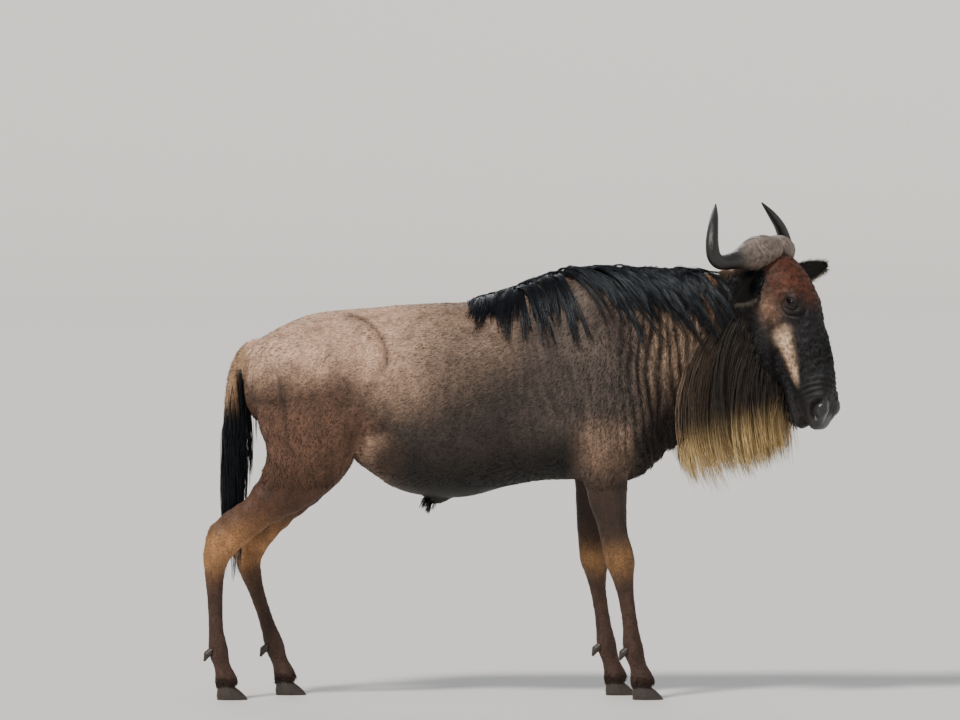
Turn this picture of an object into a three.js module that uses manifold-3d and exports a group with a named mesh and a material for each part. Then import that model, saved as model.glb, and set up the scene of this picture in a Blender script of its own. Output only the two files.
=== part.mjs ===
// A wildebeest bull, life size, standing square with its head turned towards its right side.
// Millimetres, +Z up. The animal faces +X, its left side is +Y, and it stands on the floor at Z = 0.
import * as THREE from "three";
import { mergeVertices } from "three/addons/utils/BufferGeometryUtils.js";
import Module from "manifold-3d";

const wasm = await Module();
wasm.setup();

// Driving dimensions
const GAP = 0.35; // clear space between pieces that touch
const FINEST = 0.05; // smallest detail that is kept
const ORIGIN_X = 129; // middle of the outline, from the middle of the barrel
const ORIGIN_Y = -15;
const HEAD_YAW = 28; // degrees, towards the animal's right
const HEAD_PITCH = 20; // degrees that the face leans forward from plumb
const POLL = new THREE.Vector3(885, -72, 1344); // crown of the head between the horns
const EYE_RADIUS = 20;
const EYE_AT = [176, 31, 62]; // along the face, towards the forehead, and out to the side
const HOOF_HEIGHT = 46;

const COLOURS = {
  coat: 0x4a3a32,
  face: 0x2b2523,
  horn: 0x5a5048,
  hoof: 0x2c2622,
  eye: 0x140d08,
};
const SIDES = [["right", -1], ["left", 1]];

// Small helpers

const V = (x, y, z) => new THREE.Vector3(x, y, z);
const rad = THREE.MathUtils.degToRad;
const signedPower = (value, power) => Math.sign(value) * Math.abs(value) ** power;

// Rows of named sizes, made finer along a smooth curve through them.
function smoothRows(rows, steps) {
  const fine = [];
  for (let i = 0; i + 1 < rows.length; i++) {
    const before = rows[Math.max(i - 1, 0)];
    const after = rows[Math.min(i + 2, rows.length - 1)];
    for (let k = 0; k < steps; k++) {
      const t = k / steps;
      fine.push(rows[i].map((b, j) => {
        const c = rows[i + 1][j];
        const m0 = (c - before[j]) / 2;
        const m1 = (after[j] - b) / 2;
        return (2 * t ** 3 - 3 * t ** 2 + 1) * b + (t ** 3 - 2 * t ** 2 + t) * m0
          + (3 * t ** 2 - 2 * t ** 3) * c + (t ** 3 - t ** 2) * m1;
      }));
    }
  }
  fine.push(rows[rows.length - 1]);
  return fine;
}

// A closed body through rings of points, with each end drawn to the ring's middle, or to a given tip.
function ringBody(rings, tip) {
  const sides = rings[0].length;
  const points = rings.flat();
  const faces = [];
  for (let r = 0; r + 1 < rings.length; r++) {
    for (let k = 0; k < sides; k++) {
      const a = r * sides + k;
      const b = r * sides + ((k + 1) % sides);
      faces.push(a, b, b + sides, a, b + sides, a + sides);
    }
  }
  const middle = (ring) => ring.reduce((sum, p) => sum.add(p), V(0, 0, 0)).divideScalar(ring.length);
  points.push(middle(rings[0]), tip ?? middle(rings[rings.length - 1]));
  const last = (rings.length - 1) * sides;
  for (let k = 0; k < sides; k++) {
    const next = (k + 1) % sides;
    faces.push(points.length - 2, next, k);
    faces.push(points.length - 1, last + k, last + next);
  }
  const geometry = new THREE.BufferGeometry().setFromPoints(points);
  geometry.setIndex(faces);
  return geometry;
}

// A closed three.js geometry as a solid, turned to face out.
function solidOf(geometry) {
  const bare = geometry.clone();
  bare.deleteAttribute("normal");
  bare.deleteAttribute("uv");
  const merged = mergeVertices(bare, 1e-3);
  const triVerts = new Uint32Array(merged.index.array);
  const vertProperties = new Float32Array(merged.attributes.position.array);
  const at = (i) => V(...vertProperties.subarray(3 * i, 3 * i + 3));
  let volume = 0;
  for (let i = 0; i < triVerts.length; i += 3) {
    volume += at(triVerts[i]).dot(at(triVerts[i + 1]).cross(at(triVerts[i + 2])));
  }
  if (volume < 0) {
    for (let i = 0; i < triVerts.length; i += 3) {
      [triVerts[i + 1], triVerts[i + 2]] = [triVerts[i + 2], triVerts[i + 1]];
    }
  }
  return new wasm.Manifold(new wasm.Mesh({ numProp: 3, vertProperties, triVerts }));
}

const unite = (solids) => solids.reduce((sum, next) => sum.add(next));

// The largest closed surface of a solid, which leaves out loose scraps and sealed hollows
function largest(solid) {
  const { numVert, numProp, vertProperties, triVerts } = solid.simplify(FINEST).getMesh();
  const home = Int32Array.from({ length: numVert }, (unused, i) => i);
  const root = (i) => {
    while (home[i] !== i) {
      home[i] = home[home[i]];
      i = home[i];
    }
    return i;
  };
  const at = (i) => V(...vertProperties.subarray(numProp * i, numProp * i + 3));
  for (let i = 0; i < triVerts.length; i += 3) {
    home[root(triVerts[i])] = root(triVerts[i + 1]);
    home[root(triVerts[i + 1])] = root(triVerts[i + 2]);
  }
  const volumes = new Map();
  for (let i = 0; i < triVerts.length; i += 3) {
    const volume = at(triVerts[i]).dot(at(triVerts[i + 1]).cross(at(triVerts[i + 2])));
    volumes.set(root(triVerts[i]), (volumes.get(root(triVerts[i])) ?? 0) + volume);
  }
  const best = [...volumes].reduce((a, b) => (b[1] > a[1] ? b : a))[0];
  const kept = [];
  for (let i = 0; i < triVerts.length; i += 3) {
    if (root(triVerts[i]) === best) kept.push(triVerts[i], triVerts[i + 1], triVerts[i + 2]);
  }
  const used = [...new Set(kept)];
  const place = new Map(used.map((index, k) => [index, k]));
  return new wasm.Manifold(new wasm.Mesh({
    numProp: 3,
    vertProperties: Float32Array.from(used.flatMap((index) => at(index).toArray())),
    triVerts: Uint32Array.from(kept.map((index) => place.get(index))),
  }));
}

function geometryOf(solid) {
  const mesh = solid.getMesh();
  const positions = new Float32Array(mesh.numVert * 3);
  for (let i = 0; i < mesh.numVert; i++) {
    positions.set(mesh.vertProperties.subarray(i * mesh.numProp, i * mesh.numProp + 3), i * 3);
  }
  const geometry = new THREE.BufferGeometry();
  geometry.setAttribute("position", new THREE.BufferAttribute(positions, 3));
  geometry.setIndex(new THREE.BufferAttribute(new Uint32Array(mesh.triVerts), 1));
  return geometry;
}

// A thin or thick box, used only to part or trim solids.
function block(size, centre, turn = V(0, 0, 0)) {
  const geometry = new THREE.BoxGeometry(...size);
  geometry.applyMatrix4(new THREE.Matrix4().makeRotationFromEuler(new THREE.Euler(turn.x, turn.y, turn.z)));
  geometry.translate(...centre);
  return solidOf(geometry);
}

function ball(radius, centre, segments = 12) {
  const geometry = new THREE.SphereGeometry(radius, segments, segments * 0.6);
  geometry.translate(centre.x, centre.y, centre.z);
  return solidOf(geometry);
}

// Egg-shaped cross-sections: a row is [along, middle, yaw, top, bottom, half width, height of the
// widest place, roundness above, roundness below]. The frame gives the directions.
function eggSection(row, frame, sides, grow) {
  const [along, side, yaw, top, bottom, half, wide, above, below] = row;
  const out = frame.side.clone().applyAxisAngle(frame.up, rad(yaw));
  const ring = [];
  for (let k = 0; k < sides; k++) {
    const angle = (2 * Math.PI * k) / sides;
    const power = 2 / (Math.sin(angle) >= 0 ? above : below);
    const reach = signedPower(Math.cos(angle), power) * (half + grow);
    const lift = signedPower(Math.sin(angle), power);
    const height = lift >= 0 ? wide + lift * (top + grow - wide) : wide + lift * (wide - bottom + grow);
    ring.push(frame.origin.clone().addScaledVector(frame.along, along)
      .addScaledVector(frame.side, side).addScaledVector(frame.up, height).addScaledVector(out, reach));
  }
  return ring;
}

function eggBody(rows, frame, sides, steps, grow = 0) {
  const fine = smoothRows(rows, steps);
  const rings = fine.map((row) => eggSection(row, frame, sides, grow));
  if (grow) {
    rings[0].forEach((p) => p.addScaledVector(frame.along, -grow));
    rings[rings.length - 1].forEach((p) => p.addScaledVector(frame.along, grow));
  }
  return ringBody(rings);
}

// A limb: a row is [x, y, z, half depth, half width]. Rings stand square to the line of the middles.
function limbRings(rows, sides, steps, grow = 0) {
  const fine = smoothRows(rows, steps);
  return fine.map((row, i) => {
    const a = fine[Math.max(i - 1, 0)];
    const b = fine[Math.min(i + 1, fine.length - 1)];
    const line = V(b[0] - a[0], b[1] - a[1], b[2] - a[2]).normalize();
    const side = V(0, 1, 0).addScaledVector(line, -line.y).normalize();
    const depth = new THREE.Vector3().crossVectors(side, line);
    return Array.from({ length: sides }, (unused, k) => {
      const angle = (2 * Math.PI * k) / sides;
      return V(row[0], row[1], row[2])
        .addScaledVector(depth, Math.cos(angle) * (row[3] + grow))
        .addScaledVector(side, Math.sin(angle) * (row[4] + grow));
    });
  });
}

const limb = (rows, sides, steps, grow = 0) => ringBody(limbRings(rows, sides, steps, grow));

// Trunk and neck, from the buttocks to the nape, as one form
const WORLD = { origin: V(0, 0, 0), along: V(1, 0, 0), side: V(0, 1, 0), up: V(0, 0, 1) };
const TRUNK = [
  [-706, 0, 0, 1000, 905, 45, 950, 2, 2],
  [-696, 0, 0, 1044, 862, 92, 955, 2, 2],
  [-660, 0, 0, 1078, 826, 140, 960, 2, 2],
  [-590, 0, 0, 1118, 806, 182, 968, 2.1, 2.1],
  [-510, 0, 0, 1150, 782, 203, 980, 2.1, 2.2],
  [-420, 0, 0, 1164, 745, 205, 985, 2.1, 2.2],
  [-330, 0, 0, 1172, 678, 206, 960, 2, 2.2],
  [-240, 0, 0, 1180, 622, 222, 930, 2, 2.2],
  [-130, 0, 0, 1186, 601, 238, 900, 2, 2.2],
  [-20, 0, 0, 1192, 606, 241, 890, 2, 2.2],
  [90, 0, 0, 1222, 636, 228, 885, 1.9, 2.2],
  [190, 0, 0, 1262, 653, 208, 880, 1.8, 2.2],
  [290, 0, 0, 1286, 655, 196, 880, 1.7, 2.1],
  [390, 0, 0, 1286, 648, 188, 870, 1.7, 2],
  [480, -2, -2, 1280, 668, 166, 900, 1.8, 1.9],
  [560, -8, -7, 1279, 738, 132, 960, 1.9, 1.8],
  [640, -20, -14, 1276, 790, 108, 1010, 2, 1.8],
  [710, -36, -20, 1274, 828, 94, 1040, 2, 1.9],
  [780, -54, -25, 1280, 842, 92, 1070, 2, 1.9],
  [840, -76, -28, 1290, 868, 88, 1110, 2, 2],
  [890, -98, -28, 1268, 930, 70, 1130, 2, 2],
];
const trunk = (grow = 0) => solidOf(eggBody(TRUNK, WORLD, 26, 1, grow));

// Muscle masses that stand out of the trunk on each side: shoulder, upper arm, haunch and flank
function muscles(side, grow = 0) {
  const shoulder = [
    [292, side * 60, 1262, 12, 10],
    [304, side * 104, 1190, 60, 30],
    [332, side * 136, 1080, 94, 46],
    [376, side * 146, 960, 114, 56],
    [404, side * 146, 860, 112, 56],
    [392, side * 132, 765, 98, 56],
    [372, side * 116, 690, 60, 40],
  ];
  const haunch = [
    [-500, side * 70, 1128, 20, 12],
    [-502, side * 112, 1080, 118, 56],
    [-504, side * 130, 990, 172, 78],
    [-505, side * 132, 900, 180, 78],
  ];
  return unite([solidOf(limb(shoulder, 12, 1, grow)), solidOf(limb(haunch, 12, 1, grow))]);
}

// Legs. The right legs stand a little behind the left hind leg and ahead of the left foreleg.
const FORELEGS = {
  right: { foot: [500, -92], rows: [
    [362, -112, 790, 84, 56],
    [368, -110, 720, 84, 54],
    [378, -106, 640, 64, 44],
    [390, -103, 552, 50, 37],
    [401, -101, 489, 43, 35],
    [414, -99, 438, 45, 38],
    [421, -98, 404, 44, 38],
    [427, -97, 366, 34, 30],
    [437, -96, 306, 25, 22],
    [449, -94, 222, 24, 21],
    [459, -93, 152, 31, 27],
    [472, -93, 104, 26, 24],
    [484, -92, 64, 34, 30],
    [489, -92, 43, 33, 27],
  ] },
  left: { foot: [422, 92], rows: [
    [362, 112, 790, 84, 56],
    [358, 110, 720, 82, 54],
    [346, 106, 640, 62, 44],
    [338, 103, 552, 49, 37],
    [336, 101, 489, 43, 35],
    [342, 99, 438, 45, 38],
    [346, 98, 404, 44, 38],
    [350, 97, 366, 34, 30],
    [358, 96, 306, 25, 22],
    [371, 94, 222, 24, 21],
    [381, 93, 152, 31, 27],
    [394, 93, 104, 26, 24],
    [406, 92, 64, 34, 30],
    [411, 92, 43, 33, 27],
  ] },
};
const HINDLEGS = {
  right: { foot: [-744, -98], rows: [
    [-500, -128, 935, 178, 80],
    [-504, -128, 822, 162, 78],
    [-524, -124, 726, 130, 68],
    [-580, -118, 640, 90, 52],
    [-660, -112, 568, 58, 40],
    [-728, -107, 506, 50, 34],
    [-776, -104, 458, 50, 33],
    [-793, -102, 396, 36, 27],
    [-792, -101, 300, 25, 22],
    [-789, -100, 210, 25, 22],
    [-783, -99, 150, 32, 27],
    [-772, -99, 104, 27, 24],
    [-760, -98, 64, 34, 30],
    [-755, -98, 43, 33, 27],
  ] },
  left: { foot: [-572, 98], rows: [
    [-500, 128, 935, 178, 80],
    [-498, 128, 822, 160, 78],
    [-508, 124, 726, 128, 68],
    [-548, 118, 640, 88, 52],
    [-608, 112, 560, 58, 40],
    [-664, 107, 492, 50, 34],
    [-696, 104, 438, 49, 33],
    [-694, 102, 380, 36, 27],
    [-668, 101, 296, 25, 22],
    [-640, 100, 212, 25, 22],
    [-620, 99, 150, 32, 27],
    [-604, 99, 104, 27, 24],
    [-590, 98, 64, 34, 30],
    [-585, 98, 43, 33, 27],
  ] },
};
const leg = (rows, grow = 0) => solidOf(limb(rows, 12, 1, grow));

// The point of the hock: a short spur from the back of the joint up along the tendon
function hockPoint(rows, grow = 0) {
  const [x, y, z] = rows[6];
  return solidOf(limb([
    [x + 2, y, z - 66, 26, 20],
    [x - 26, y, z - 8, 20, 16],
    [x - 33, y, z + 30, 15, 13],
    [x - 6, y, z + 74, 13, 11],
    [x + 60, y, z + 128, 10, 9],
  ], 10, 1, grow));
}

// The head, in its own frame: along the face from the crown, up towards the forehead
const headTurn = new THREE.Matrix4().makeRotationZ(-rad(HEAD_YAW));
const direction = (x, y, z) => V(x, y, z).applyMatrix4(headTurn);
const pitch = rad(HEAD_PITCH);
const HEAD = {
  origin: POLL,
  along: direction(Math.sin(pitch), 0, -Math.cos(pitch)),
  side: direction(0, 1, 0),
  up: direction(Math.cos(pitch), 0, Math.sin(pitch)),
};
const inHead = (along, up, side) => HEAD.origin.clone().addScaledVector(HEAD.along, along)
  .addScaledVector(HEAD.up, up).addScaledVector(HEAD.side, side);
const SKULL = [
  [-18, 0, 0, -10, -118, 46, -60, 2, 2],
  [0, 0, 0, 12, -140, 66, -60, 2.2, 2.2],
  [45, 0, 0, 46, -158, 80, -52, 2.3, 2.3],
  [100, 0, 0, 66, -168, 86, -44, 2.4, 2.3],
  [150, 0, 0, 76, -170, 86, -36, 2.4, 2.3],
  [200, 0, 0, 79, -160, 80, -30, 2.3, 2.2],
  [255, 0, 0, 75, -134, 68, -26, 2.2, 2.1],
  [320, 0, 0, 69, -104, 58, -18, 2.2, 2.1],
  [385, 0, 0, 63, -88, 54, -14, 2.2, 2.2],
  [440, 0, 0, 46, -80, 56, -14, 2.2, 2.3],
  [485, 0, 0, 26, -76, 60, -24, 2.3, 2.4],
  [520, 0, 0, 2, -70, 57, -28, 2.3, 2.4],
  [543, 0, 0, -18, -62, 44, -38, 2.1, 2.1],
  [552, 0, 0, -28, -50, 22, -39, 2, 2],
];
const THROAT = [
  [20, -120, 0, 66],
  [110, -150, 0, 82],
  [210, -160, 0, 80],
  [300, -146, 0, 62],
  [370, -118, 0, 34],
];
const LOWER_JAW = [
  [262, 0, 0, -60, -132, 48, -96, 2.2, 2.2],
  [330, 0, 0, -58, -118, 46, -90, 2.2, 2.2],
  [400, 0, 0, -64, -112, 42, -90, 2.2, 2.2],
  [460, 0, 0, -74, -114, 42, -96, 2.2, 2.2],
  [505, 0, 0, -76, -114, 40, -96, 2.2, 2.2],
  [528, 0, 0, -78, -106, 28, -92, 2, 2],
];

function headForms(grow = 0) {
  const sides = [-1, 1];
  const forms = [headTube(THROAT, 12, grow), eggBody(SKULL, HEAD, 22, 2, grow), eggBody(LOWER_JAW, HEAD, 12, 1, grow)];
  for (const side of sides) {
    // brow and cheek bone over the eye, the jaw muscle, and the swell of the nostril
    forms.push(headTube([
      [112, 22, side * 56, 18],
      [146, 34, side * 60, 22],
      [178, 38, side * 58, 23],
      [214, 30, side * 50, 18],
    ], 8, grow));
    forms.push(headTube([
      [90, -76, side * 56, 32],
      [150, -100, side * 58, 46],
      [210, -98, side * 52, 40],
      [280, -66, side * 44, 20],
    ], 8, grow));
    forms.push(headTube([
      [446, 14, side * 34, 16],
      [476, 8, side * 40, 22],
      [506, -12, side * 38, 22],
      [528, -28, side * 26, 16],
    ], 8, grow));
  }
  return unite(forms.map(solidOf));
}

// A tube along points of the head's frame: each row is [along, up, side, radius]
function headTube(rows, sides, grow = 0) {
  const fine = smoothRows(rows, rows.length > 4 ? 2 : 1);
  const middles = fine.map(([a, u, s]) => inHead(a, u, s));
  return ringBody(tubeRings(middles, fine.map((row) => row[3] + grow), sides));
}

// Round rings square to a line of points
function tubeRings(middles, radii, sides) {
  return middles.map((p, i) => {
    const a = middles[Math.max(i - 1, 0)];
    const b = middles[Math.min(i + 1, middles.length - 1)];
    const line = b.clone().sub(a).normalize();
    const first = V(0.31, 0.17, 0.93).cross(line).normalize();
    const second = line.clone().cross(first);
    return Array.from({ length: sides }, (unused, k) => {
      const angle = (2 * Math.PI * k) / sides;
      return p.clone().addScaledVector(first, Math.cos(angle) * radii[i])
        .addScaledVector(second, Math.sin(angle) * radii[i]);
    });
  });
}

const eyeCentre = (side) => inHead(EYE_AT[0], EYE_AT[1], side * EYE_AT[2]);

// Lids: two thick arcs that meet at the corners of the eye
function lids(side) {
  const out = HEAD.side.clone().multiplyScalar(side);
  const centre = eyeCentre(side);
  const arc = (lift, radius) => {
    const middles = [];
    for (let k = 0; k <= 6; k++) {
      const angle = -Math.PI / 2 + (Math.PI * k) / 6;
      const across = Math.sin(angle);
      const open = Math.cos(angle);
      middles.push(centre.clone()
        .addScaledVector(HEAD.along, across * (EYE_RADIUS + 3))
        .addScaledVector(HEAD.up, lift * open * (EYE_RADIUS * 0.62))
        .addScaledVector(out, EYE_RADIUS * (0.36 + 0.5 * open)));
    }
    return solidOf(ringBody(tubeRings(middles, middles.map(() => radius), 6)));
  };
  return unite([arc(1, 6.5), arc(-1, 5)]);
}

// Nostril: a slanting oval pit behind the front of the nose
function nostrilPit(side) {
  const rows = [
    [474, 8, side * 66, 15],
    [484, 6, side * 54, 14],
    [494, 2, side * 42, 11],
    [502, -3, side * 30, 5],
  ];
  return solidOf(headTube(rows, 12));
}

// Mouth: a thin wedge cut between the lips, from the front to the corner
function mouthLine() {
  const rows = [
    [424, 0, 0, -71, -74, 70, -72.5, 2, 2],
    [470, 0, 0, -72, -76, 84, -74, 2, 2],
    [580, 0, 0, -68, -76, 84, -72, 2, 2],
  ];
  return solidOf(eggBody(rows, HEAD, 12, 1));
}

// Ears: a leaf with a deep cup, from the root to the tip. The right ear droops back, the left is raised.
const EARS = {
  right: { root: [84, -40, -56], tip: [127, -89, -200], open: V(0.2, -0.93, -0.1) },
  left: { root: [84, -34, 56], tip: [71, 54, 212], open: V(0.45, -0.85, -0.2) },
};
const EAR_HALF_WIDTH = 34;

function ear(name) {
  const root = inHead(EARS[name].root[0], EARS[name].root[1], EARS[name].root[2]);
  const tip = inHead(EARS[name].tip[0], EARS[name].tip[1], EARS[name].tip[2]);
  const line = tip.clone().sub(root).normalize();
  const across = line.clone().cross(EARS[name].open).normalize();
  const face = across.clone().cross(line).normalize();
  const length = tip.distanceTo(root);
  const points = 7;
  const rings = [0, 0.1, 0.22, 0.36, 0.5, 0.64, 0.78, 0.9, 0.97].map((t) => {
    const half = 4 + (EAR_HALF_WIDTH - 4) * Math.sin(Math.PI * (0.2 + 0.8 * t)) ** 0.75;
    const cup = half * (0.85 - 0.35 * t);
    const wall = 5 - 2 * t;
    const inner = [];
    const outer = [];
    for (let k = 0; k < points; k++) {
      const u = -1 + (2 * k) / (points - 1);
      const middle = root.clone().addScaledVector(line, (t - 0.06 * u * u) * length);
      inner.push(middle.clone().addScaledVector(across, u * half)
        .addScaledVector(face, cup * (u * u - 1)));
      outer.unshift(middle.clone().addScaledVector(across, u * (half + 1.5))
        .addScaledVector(face, cup * (u * u - 1) - wall));
    }
    return [...inner, ...outer];
  });
  return solidOf(ringBody(rings));
}

// Horns: a broad boss at the crown, out and down to the side, then up and in to the tip.
// A row is [forward, out to the side, up, radius fore and aft, radius up and down].
const HORN = [
  [-6, 1, 2, 40, 34],
  [-12, 28, 2, 50, 44],
  [-24, 66, -4, 51, 49],
  [-40, 106, -14, 43, 41],
  [-56, 146, -24, 31, 29],
  [-70, 186, -31, 24, 24],
  [-80, 222, -30, 22.5, 22.5],
  [-86, 246, -10, 21.5, 21.5],
  [-91, 246, 28, 20, 20],
  [-98, 226, 68, 17, 17],
  [-110, 192, 106, 12, 12],
  [-124, 156, 140, 3, 3],
];

function horn(side, grow = 0) {
  const fine = smoothRows(HORN, 2);
  const middles = fine.map(([f, s, u]) => POLL.clone().add(direction(f, side * s, u)));
  const forward = direction(1, 0, 0);
  const rings = middles.map((p, i) => {
    const a = middles[Math.max(i - 1, 0)];
    const b = middles[Math.min(i + 1, middles.length - 1)];
    const line = b.clone().sub(a).normalize();
    const fore = forward.clone().addScaledVector(line, -forward.dot(line)).normalize();
    const high = line.clone().cross(fore);
    const ridge = i < 9 && i % 2 ? 1.5 : 0;
    return Array.from({ length: 12 }, (unused, k) => {
      const angle = (2 * Math.PI * k) / 12;
      return p.clone().addScaledVector(fore, Math.cos(angle) * (fine[i][3] + ridge + grow))
        .addScaledVector(high, Math.sin(angle) * (fine[i][4] + ridge + grow));
    });
  });
  return solidOf(ringBody(rings));
}

// Cloven hoof: one claw, flat on its inner side, with the toe forward. A level is [height, heel, toe,
// half width], measured from the middle of the foot.
const CLAW = [
  [0, -44, 50, 25],
  [12, -45, 45, 26],
  [32, -42, 27, 25],
  [HOOF_HEIGHT, -38, 10, 23],
];

function claw(foot, coronet, side, grow = 0) {
  const rings = CLAW.map(([height, heel, toe, half], level) => {
    const share = height / HOOF_HEIGHT;
    const x = THREE.MathUtils.lerp(foot[0], coronet[0] + 10, share);
    const lift = level === 0 ? -grow : level === CLAW.length - 1 ? grow : 0;
    return Array.from({ length: 12 }, (unused, k) => {
      const angle = (2 * Math.PI * k) / 12;
      const along = Math.cos(angle);
      const outward = Math.sin(angle) * side;
      const width = (outward >= 0 ? half - 3 : 2.2) * (1 - 0.22 * Math.max(0, along)) + grow;
      return V(x + (toe + heel) / 2 + along * ((toe - heel) / 2 + grow),
        foot[1] + side * 4 + Math.sin(angle) * width,
        height + lift - 6 * share * along);
    });
  });
  return solidOf(ringBody(rings));
}

// Dew claw: a small blunt cone behind the fetlock
function dewClaw(rows, side) {
  const [x, y, z] = rows[10];
  const middles = [V(x - 14, y + side * 13, z + 2), V(x - 34, y + side * 15, z - 14),
    V(x - 42, y + side * 16, z - 34)];
  return solidOf(ringBody(tubeRings(middles, [12, 12, 5], 6)));
}

// Tail: the dock, and the long switch
const TAIL = [
  [-640, 0, 1060, 26, 24],
  [-690, -4, 1046, 26, 24],
  [-724, -10, 1000, 24, 22],
  [-742, -16, 930, 22, 20],
  [-750, -20, 850, 19, 18],
  [-750, -22, 770, 15, 14],
  [-746, -22, 700, 9, 9],
];

// A small hanging fold of skin on the belly
function sheath(grow = 0) {
  return solidOf(limb([
    [-120, 0, 640, 60, 34],
    [-140, 0, 612, 42, 26],
    [-160, 0, 594, 16, 12],
  ], 12, 2, grow));
}

// The flesh is made whole, and parted with thin cuts.
function body(grow = 0) {
  const forms = [trunk(grow), sheath(grow)];
  for (const [name, side] of SIDES) {
    forms.push(muscles(side, grow), leg(FORELEGS[name].rows, grow), leg(HINDLEGS[name].rows, grow));
    forms.push(hockPoint(HINDLEGS[name].rows, grow));
  }
  return unite(forms);
}

const feet = [];
for (const [name, side] of SIDES) {
  for (const [place, { foot, rows }] of [["fore", FORELEGS[name]], ["hind", HINDLEGS[name]]]) {
    for (const inner of [true, false]) {
      const lean = inner ? -side : side;
      const label = `${place}_${name}_${inner ? "inner" : "outer"}`;
      feet.push({ label, foot, rows, lean });
    }
  }
}

const slabs = [
  block([GAP, 900, 1100], [515, 0, 950], V(0, rad(14), 0)),
  (() => {
    const centre = POLL.clone().add(direction(-104, 0, -170));
    return block([GAP, 620, 1300], centre.toArray(), V(0, 0, -rad(HEAD_YAW)));
  })(),
  block([190, 420, GAP], [372, 0, 634]),
  block([560, 560, GAP], [-560, 0, 790], V(0, rad(21), 0)),
];

let flesh = unite([body(), headForms()]);
for (const side of [-1, 1]) {
  flesh = flesh.add(lids(side)).subtract(ball(EYE_RADIUS + GAP, eyeCentre(side)));
  flesh = flesh.subtract(nostrilPit(side));
}
flesh = flesh.subtract(mouthLine()).subtract(unite(slabs));
for (const { foot, rows, lean } of feet) {
  flesh = flesh.subtract(claw(foot, rows[rows.length - 1], lean, GAP));
}

// Each parted piece is known by a point deep inside it.
const pieces = flesh.decompose();
const pieceAt = (point) => pieces.find((piece) => piece.intersect(ball(4, point)).volume() > 20);
const nodes = new Map([
  ["torso", [pieceAt(V(0, 0, 900)), "coat"]],
  ["neck", [pieceAt(V(660, -26, 1050)), "coat"]],
  ["head", [pieceAt(inHead(200, -40, 0)), "face"]],
  ["foreleg_right", [pieceAt(V(390, -103, 540)), "coat"]],
  ["foreleg_left", [pieceAt(V(338, 103, 540)), "coat"]],
  ["hindleg_right", [pieceAt(V(-600, -116, 620)), "coat"]],
  ["hindleg_left", [pieceAt(V(-570, 115, 610)), "coat"]],
]);

// Nearest point of the whole flesh, for the hair to lie on
const skin = (() => {
  const geometry = geometryOf(unite([body(), headForms()])).toNonIndexed();
  const points = geometry.attributes.position;
  const faces = [];
  for (let i = 0; i < points.count; i += 3) {
    const [p, q, r] = [0, 1, 2].map((k) => new THREE.Vector3().fromBufferAttribute(points, i + k));
    const triangle = new THREE.Triangle(p, q, r);
    const centre = triangle.getMidpoint(new THREE.Vector3());
    faces.push({ triangle, centre, reach: Math.max(p.distanceTo(centre), q.distanceTo(centre), r.distanceTo(centre)),
      normal: triangle.getNormal(new THREE.Vector3()) });
  }
  return faces;
})();

function nearestSkin(point) {
  let best = Infinity;
  const found = { point: V(0, 0, 0), normal: V(0, 0, 1) };
  const spot = V(0, 0, 0);
  for (const face of skin) {
    if (point.distanceTo(face.centre) - face.reach < best) {
      const distance = face.triangle.closestPointToPoint(point, spot).distanceTo(point);
      if (distance < best) {
        best = distance;
        found.point.copy(spot);
        found.normal.copy(face.normal);
      }
    }
  }
  found.depth = point.clone().sub(found.point).dot(found.normal);
  return found;
}

// Seeded random numbers, so that every run grows the same hair
function seeded(seed) {
  let state = seed;
  return () => {
    state = (state * 1664525 + 1013904223) % 4294967296;
    return state / 4294967296;
  };
}

// A lock's line: it leaves the root along `start`, bends towards `pull`, and lies on the skin it meets.
const LOCK_STEPS = 4;
const LOCK_CLEAR = 13;
const LOCK_SINK = 16;
function lockLine(root, start, pull, length, bend) {
  const ground = nearestSkin(root);
  const way = start.clone().normalize();
  const line = [{ point: ground.point.clone().addScaledVector(ground.normal, -LOCK_SINK).addScaledVector(way, -8),
    normal: ground.normal.clone() }];
  let point = ground.point.clone().addScaledVector(ground.normal, 4);
  for (let i = 1; i <= LOCK_STEPS; i++) {
    way.lerp(pull, bend).normalize();
    point = point.clone().addScaledVector(way, length / LOCK_STEPS);
    const hit = nearestSkin(point);
    if (hit.depth < LOCK_CLEAR) {
      point.copy(hit.point).addScaledVector(hit.normal, LOCK_CLEAR);
    }
    const out = hit.depth < 60 ? hit.normal : point.clone().sub(hit.point).normalize();
    line.push({ point: point.clone(), normal: out.clone() });
  }
  return line;
}

// A flat, tapered lock along its line, ridged down the middle
const LOCK_SHAPE = [0.85, 1, 0.95, 0.7];
function lock(line, width, thick, grow = 0) {
  const rings = LOCK_SHAPE.map((share, i) => {
    const { point, normal } = line[i];
    const along = line[i + 1].point.clone().sub(line[Math.max(i - 1, 0)].point).normalize();
    const side = along.clone().cross(normal).normalize();
    const up = side.clone().cross(along).normalize();
    const half = (width / 2) * share + 2 * grow;
    return [
      point.clone().addScaledVector(side, half).addScaledVector(up, -thick * 0.3 - grow),
      point.clone().addScaledVector(up, thick * 0.7 * share + 2 * grow),
      point.clone().addScaledVector(side, -half).addScaledVector(up, -thick * 0.3 - grow),
    ];
  });
  const tip = line[LOCK_STEPS].point.clone();
  const end = tip.clone().sub(line[LOCK_STEPS - 1].point).normalize();
  return solidOf(ringBody(rings, tip.addScaledVector(end, 4 * grow)));
}

// Height and middle of the trunk at a place along it, from its rows
function trunkAt(x) {
  const i = Math.max(1, TRUNK.findIndex((row) => row[0] >= x));
  const share = (x - TRUNK[i - 1][0]) / (TRUNK[i][0] - TRUNK[i - 1][0]);
  const mixed = TRUNK[i - 1].map((value, k) => THREE.MathUtils.lerp(value, TRUNK[i][k], share));
  return { middle: mixed[1], top: mixed[3], bottom: mixed[4] };
}

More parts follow.
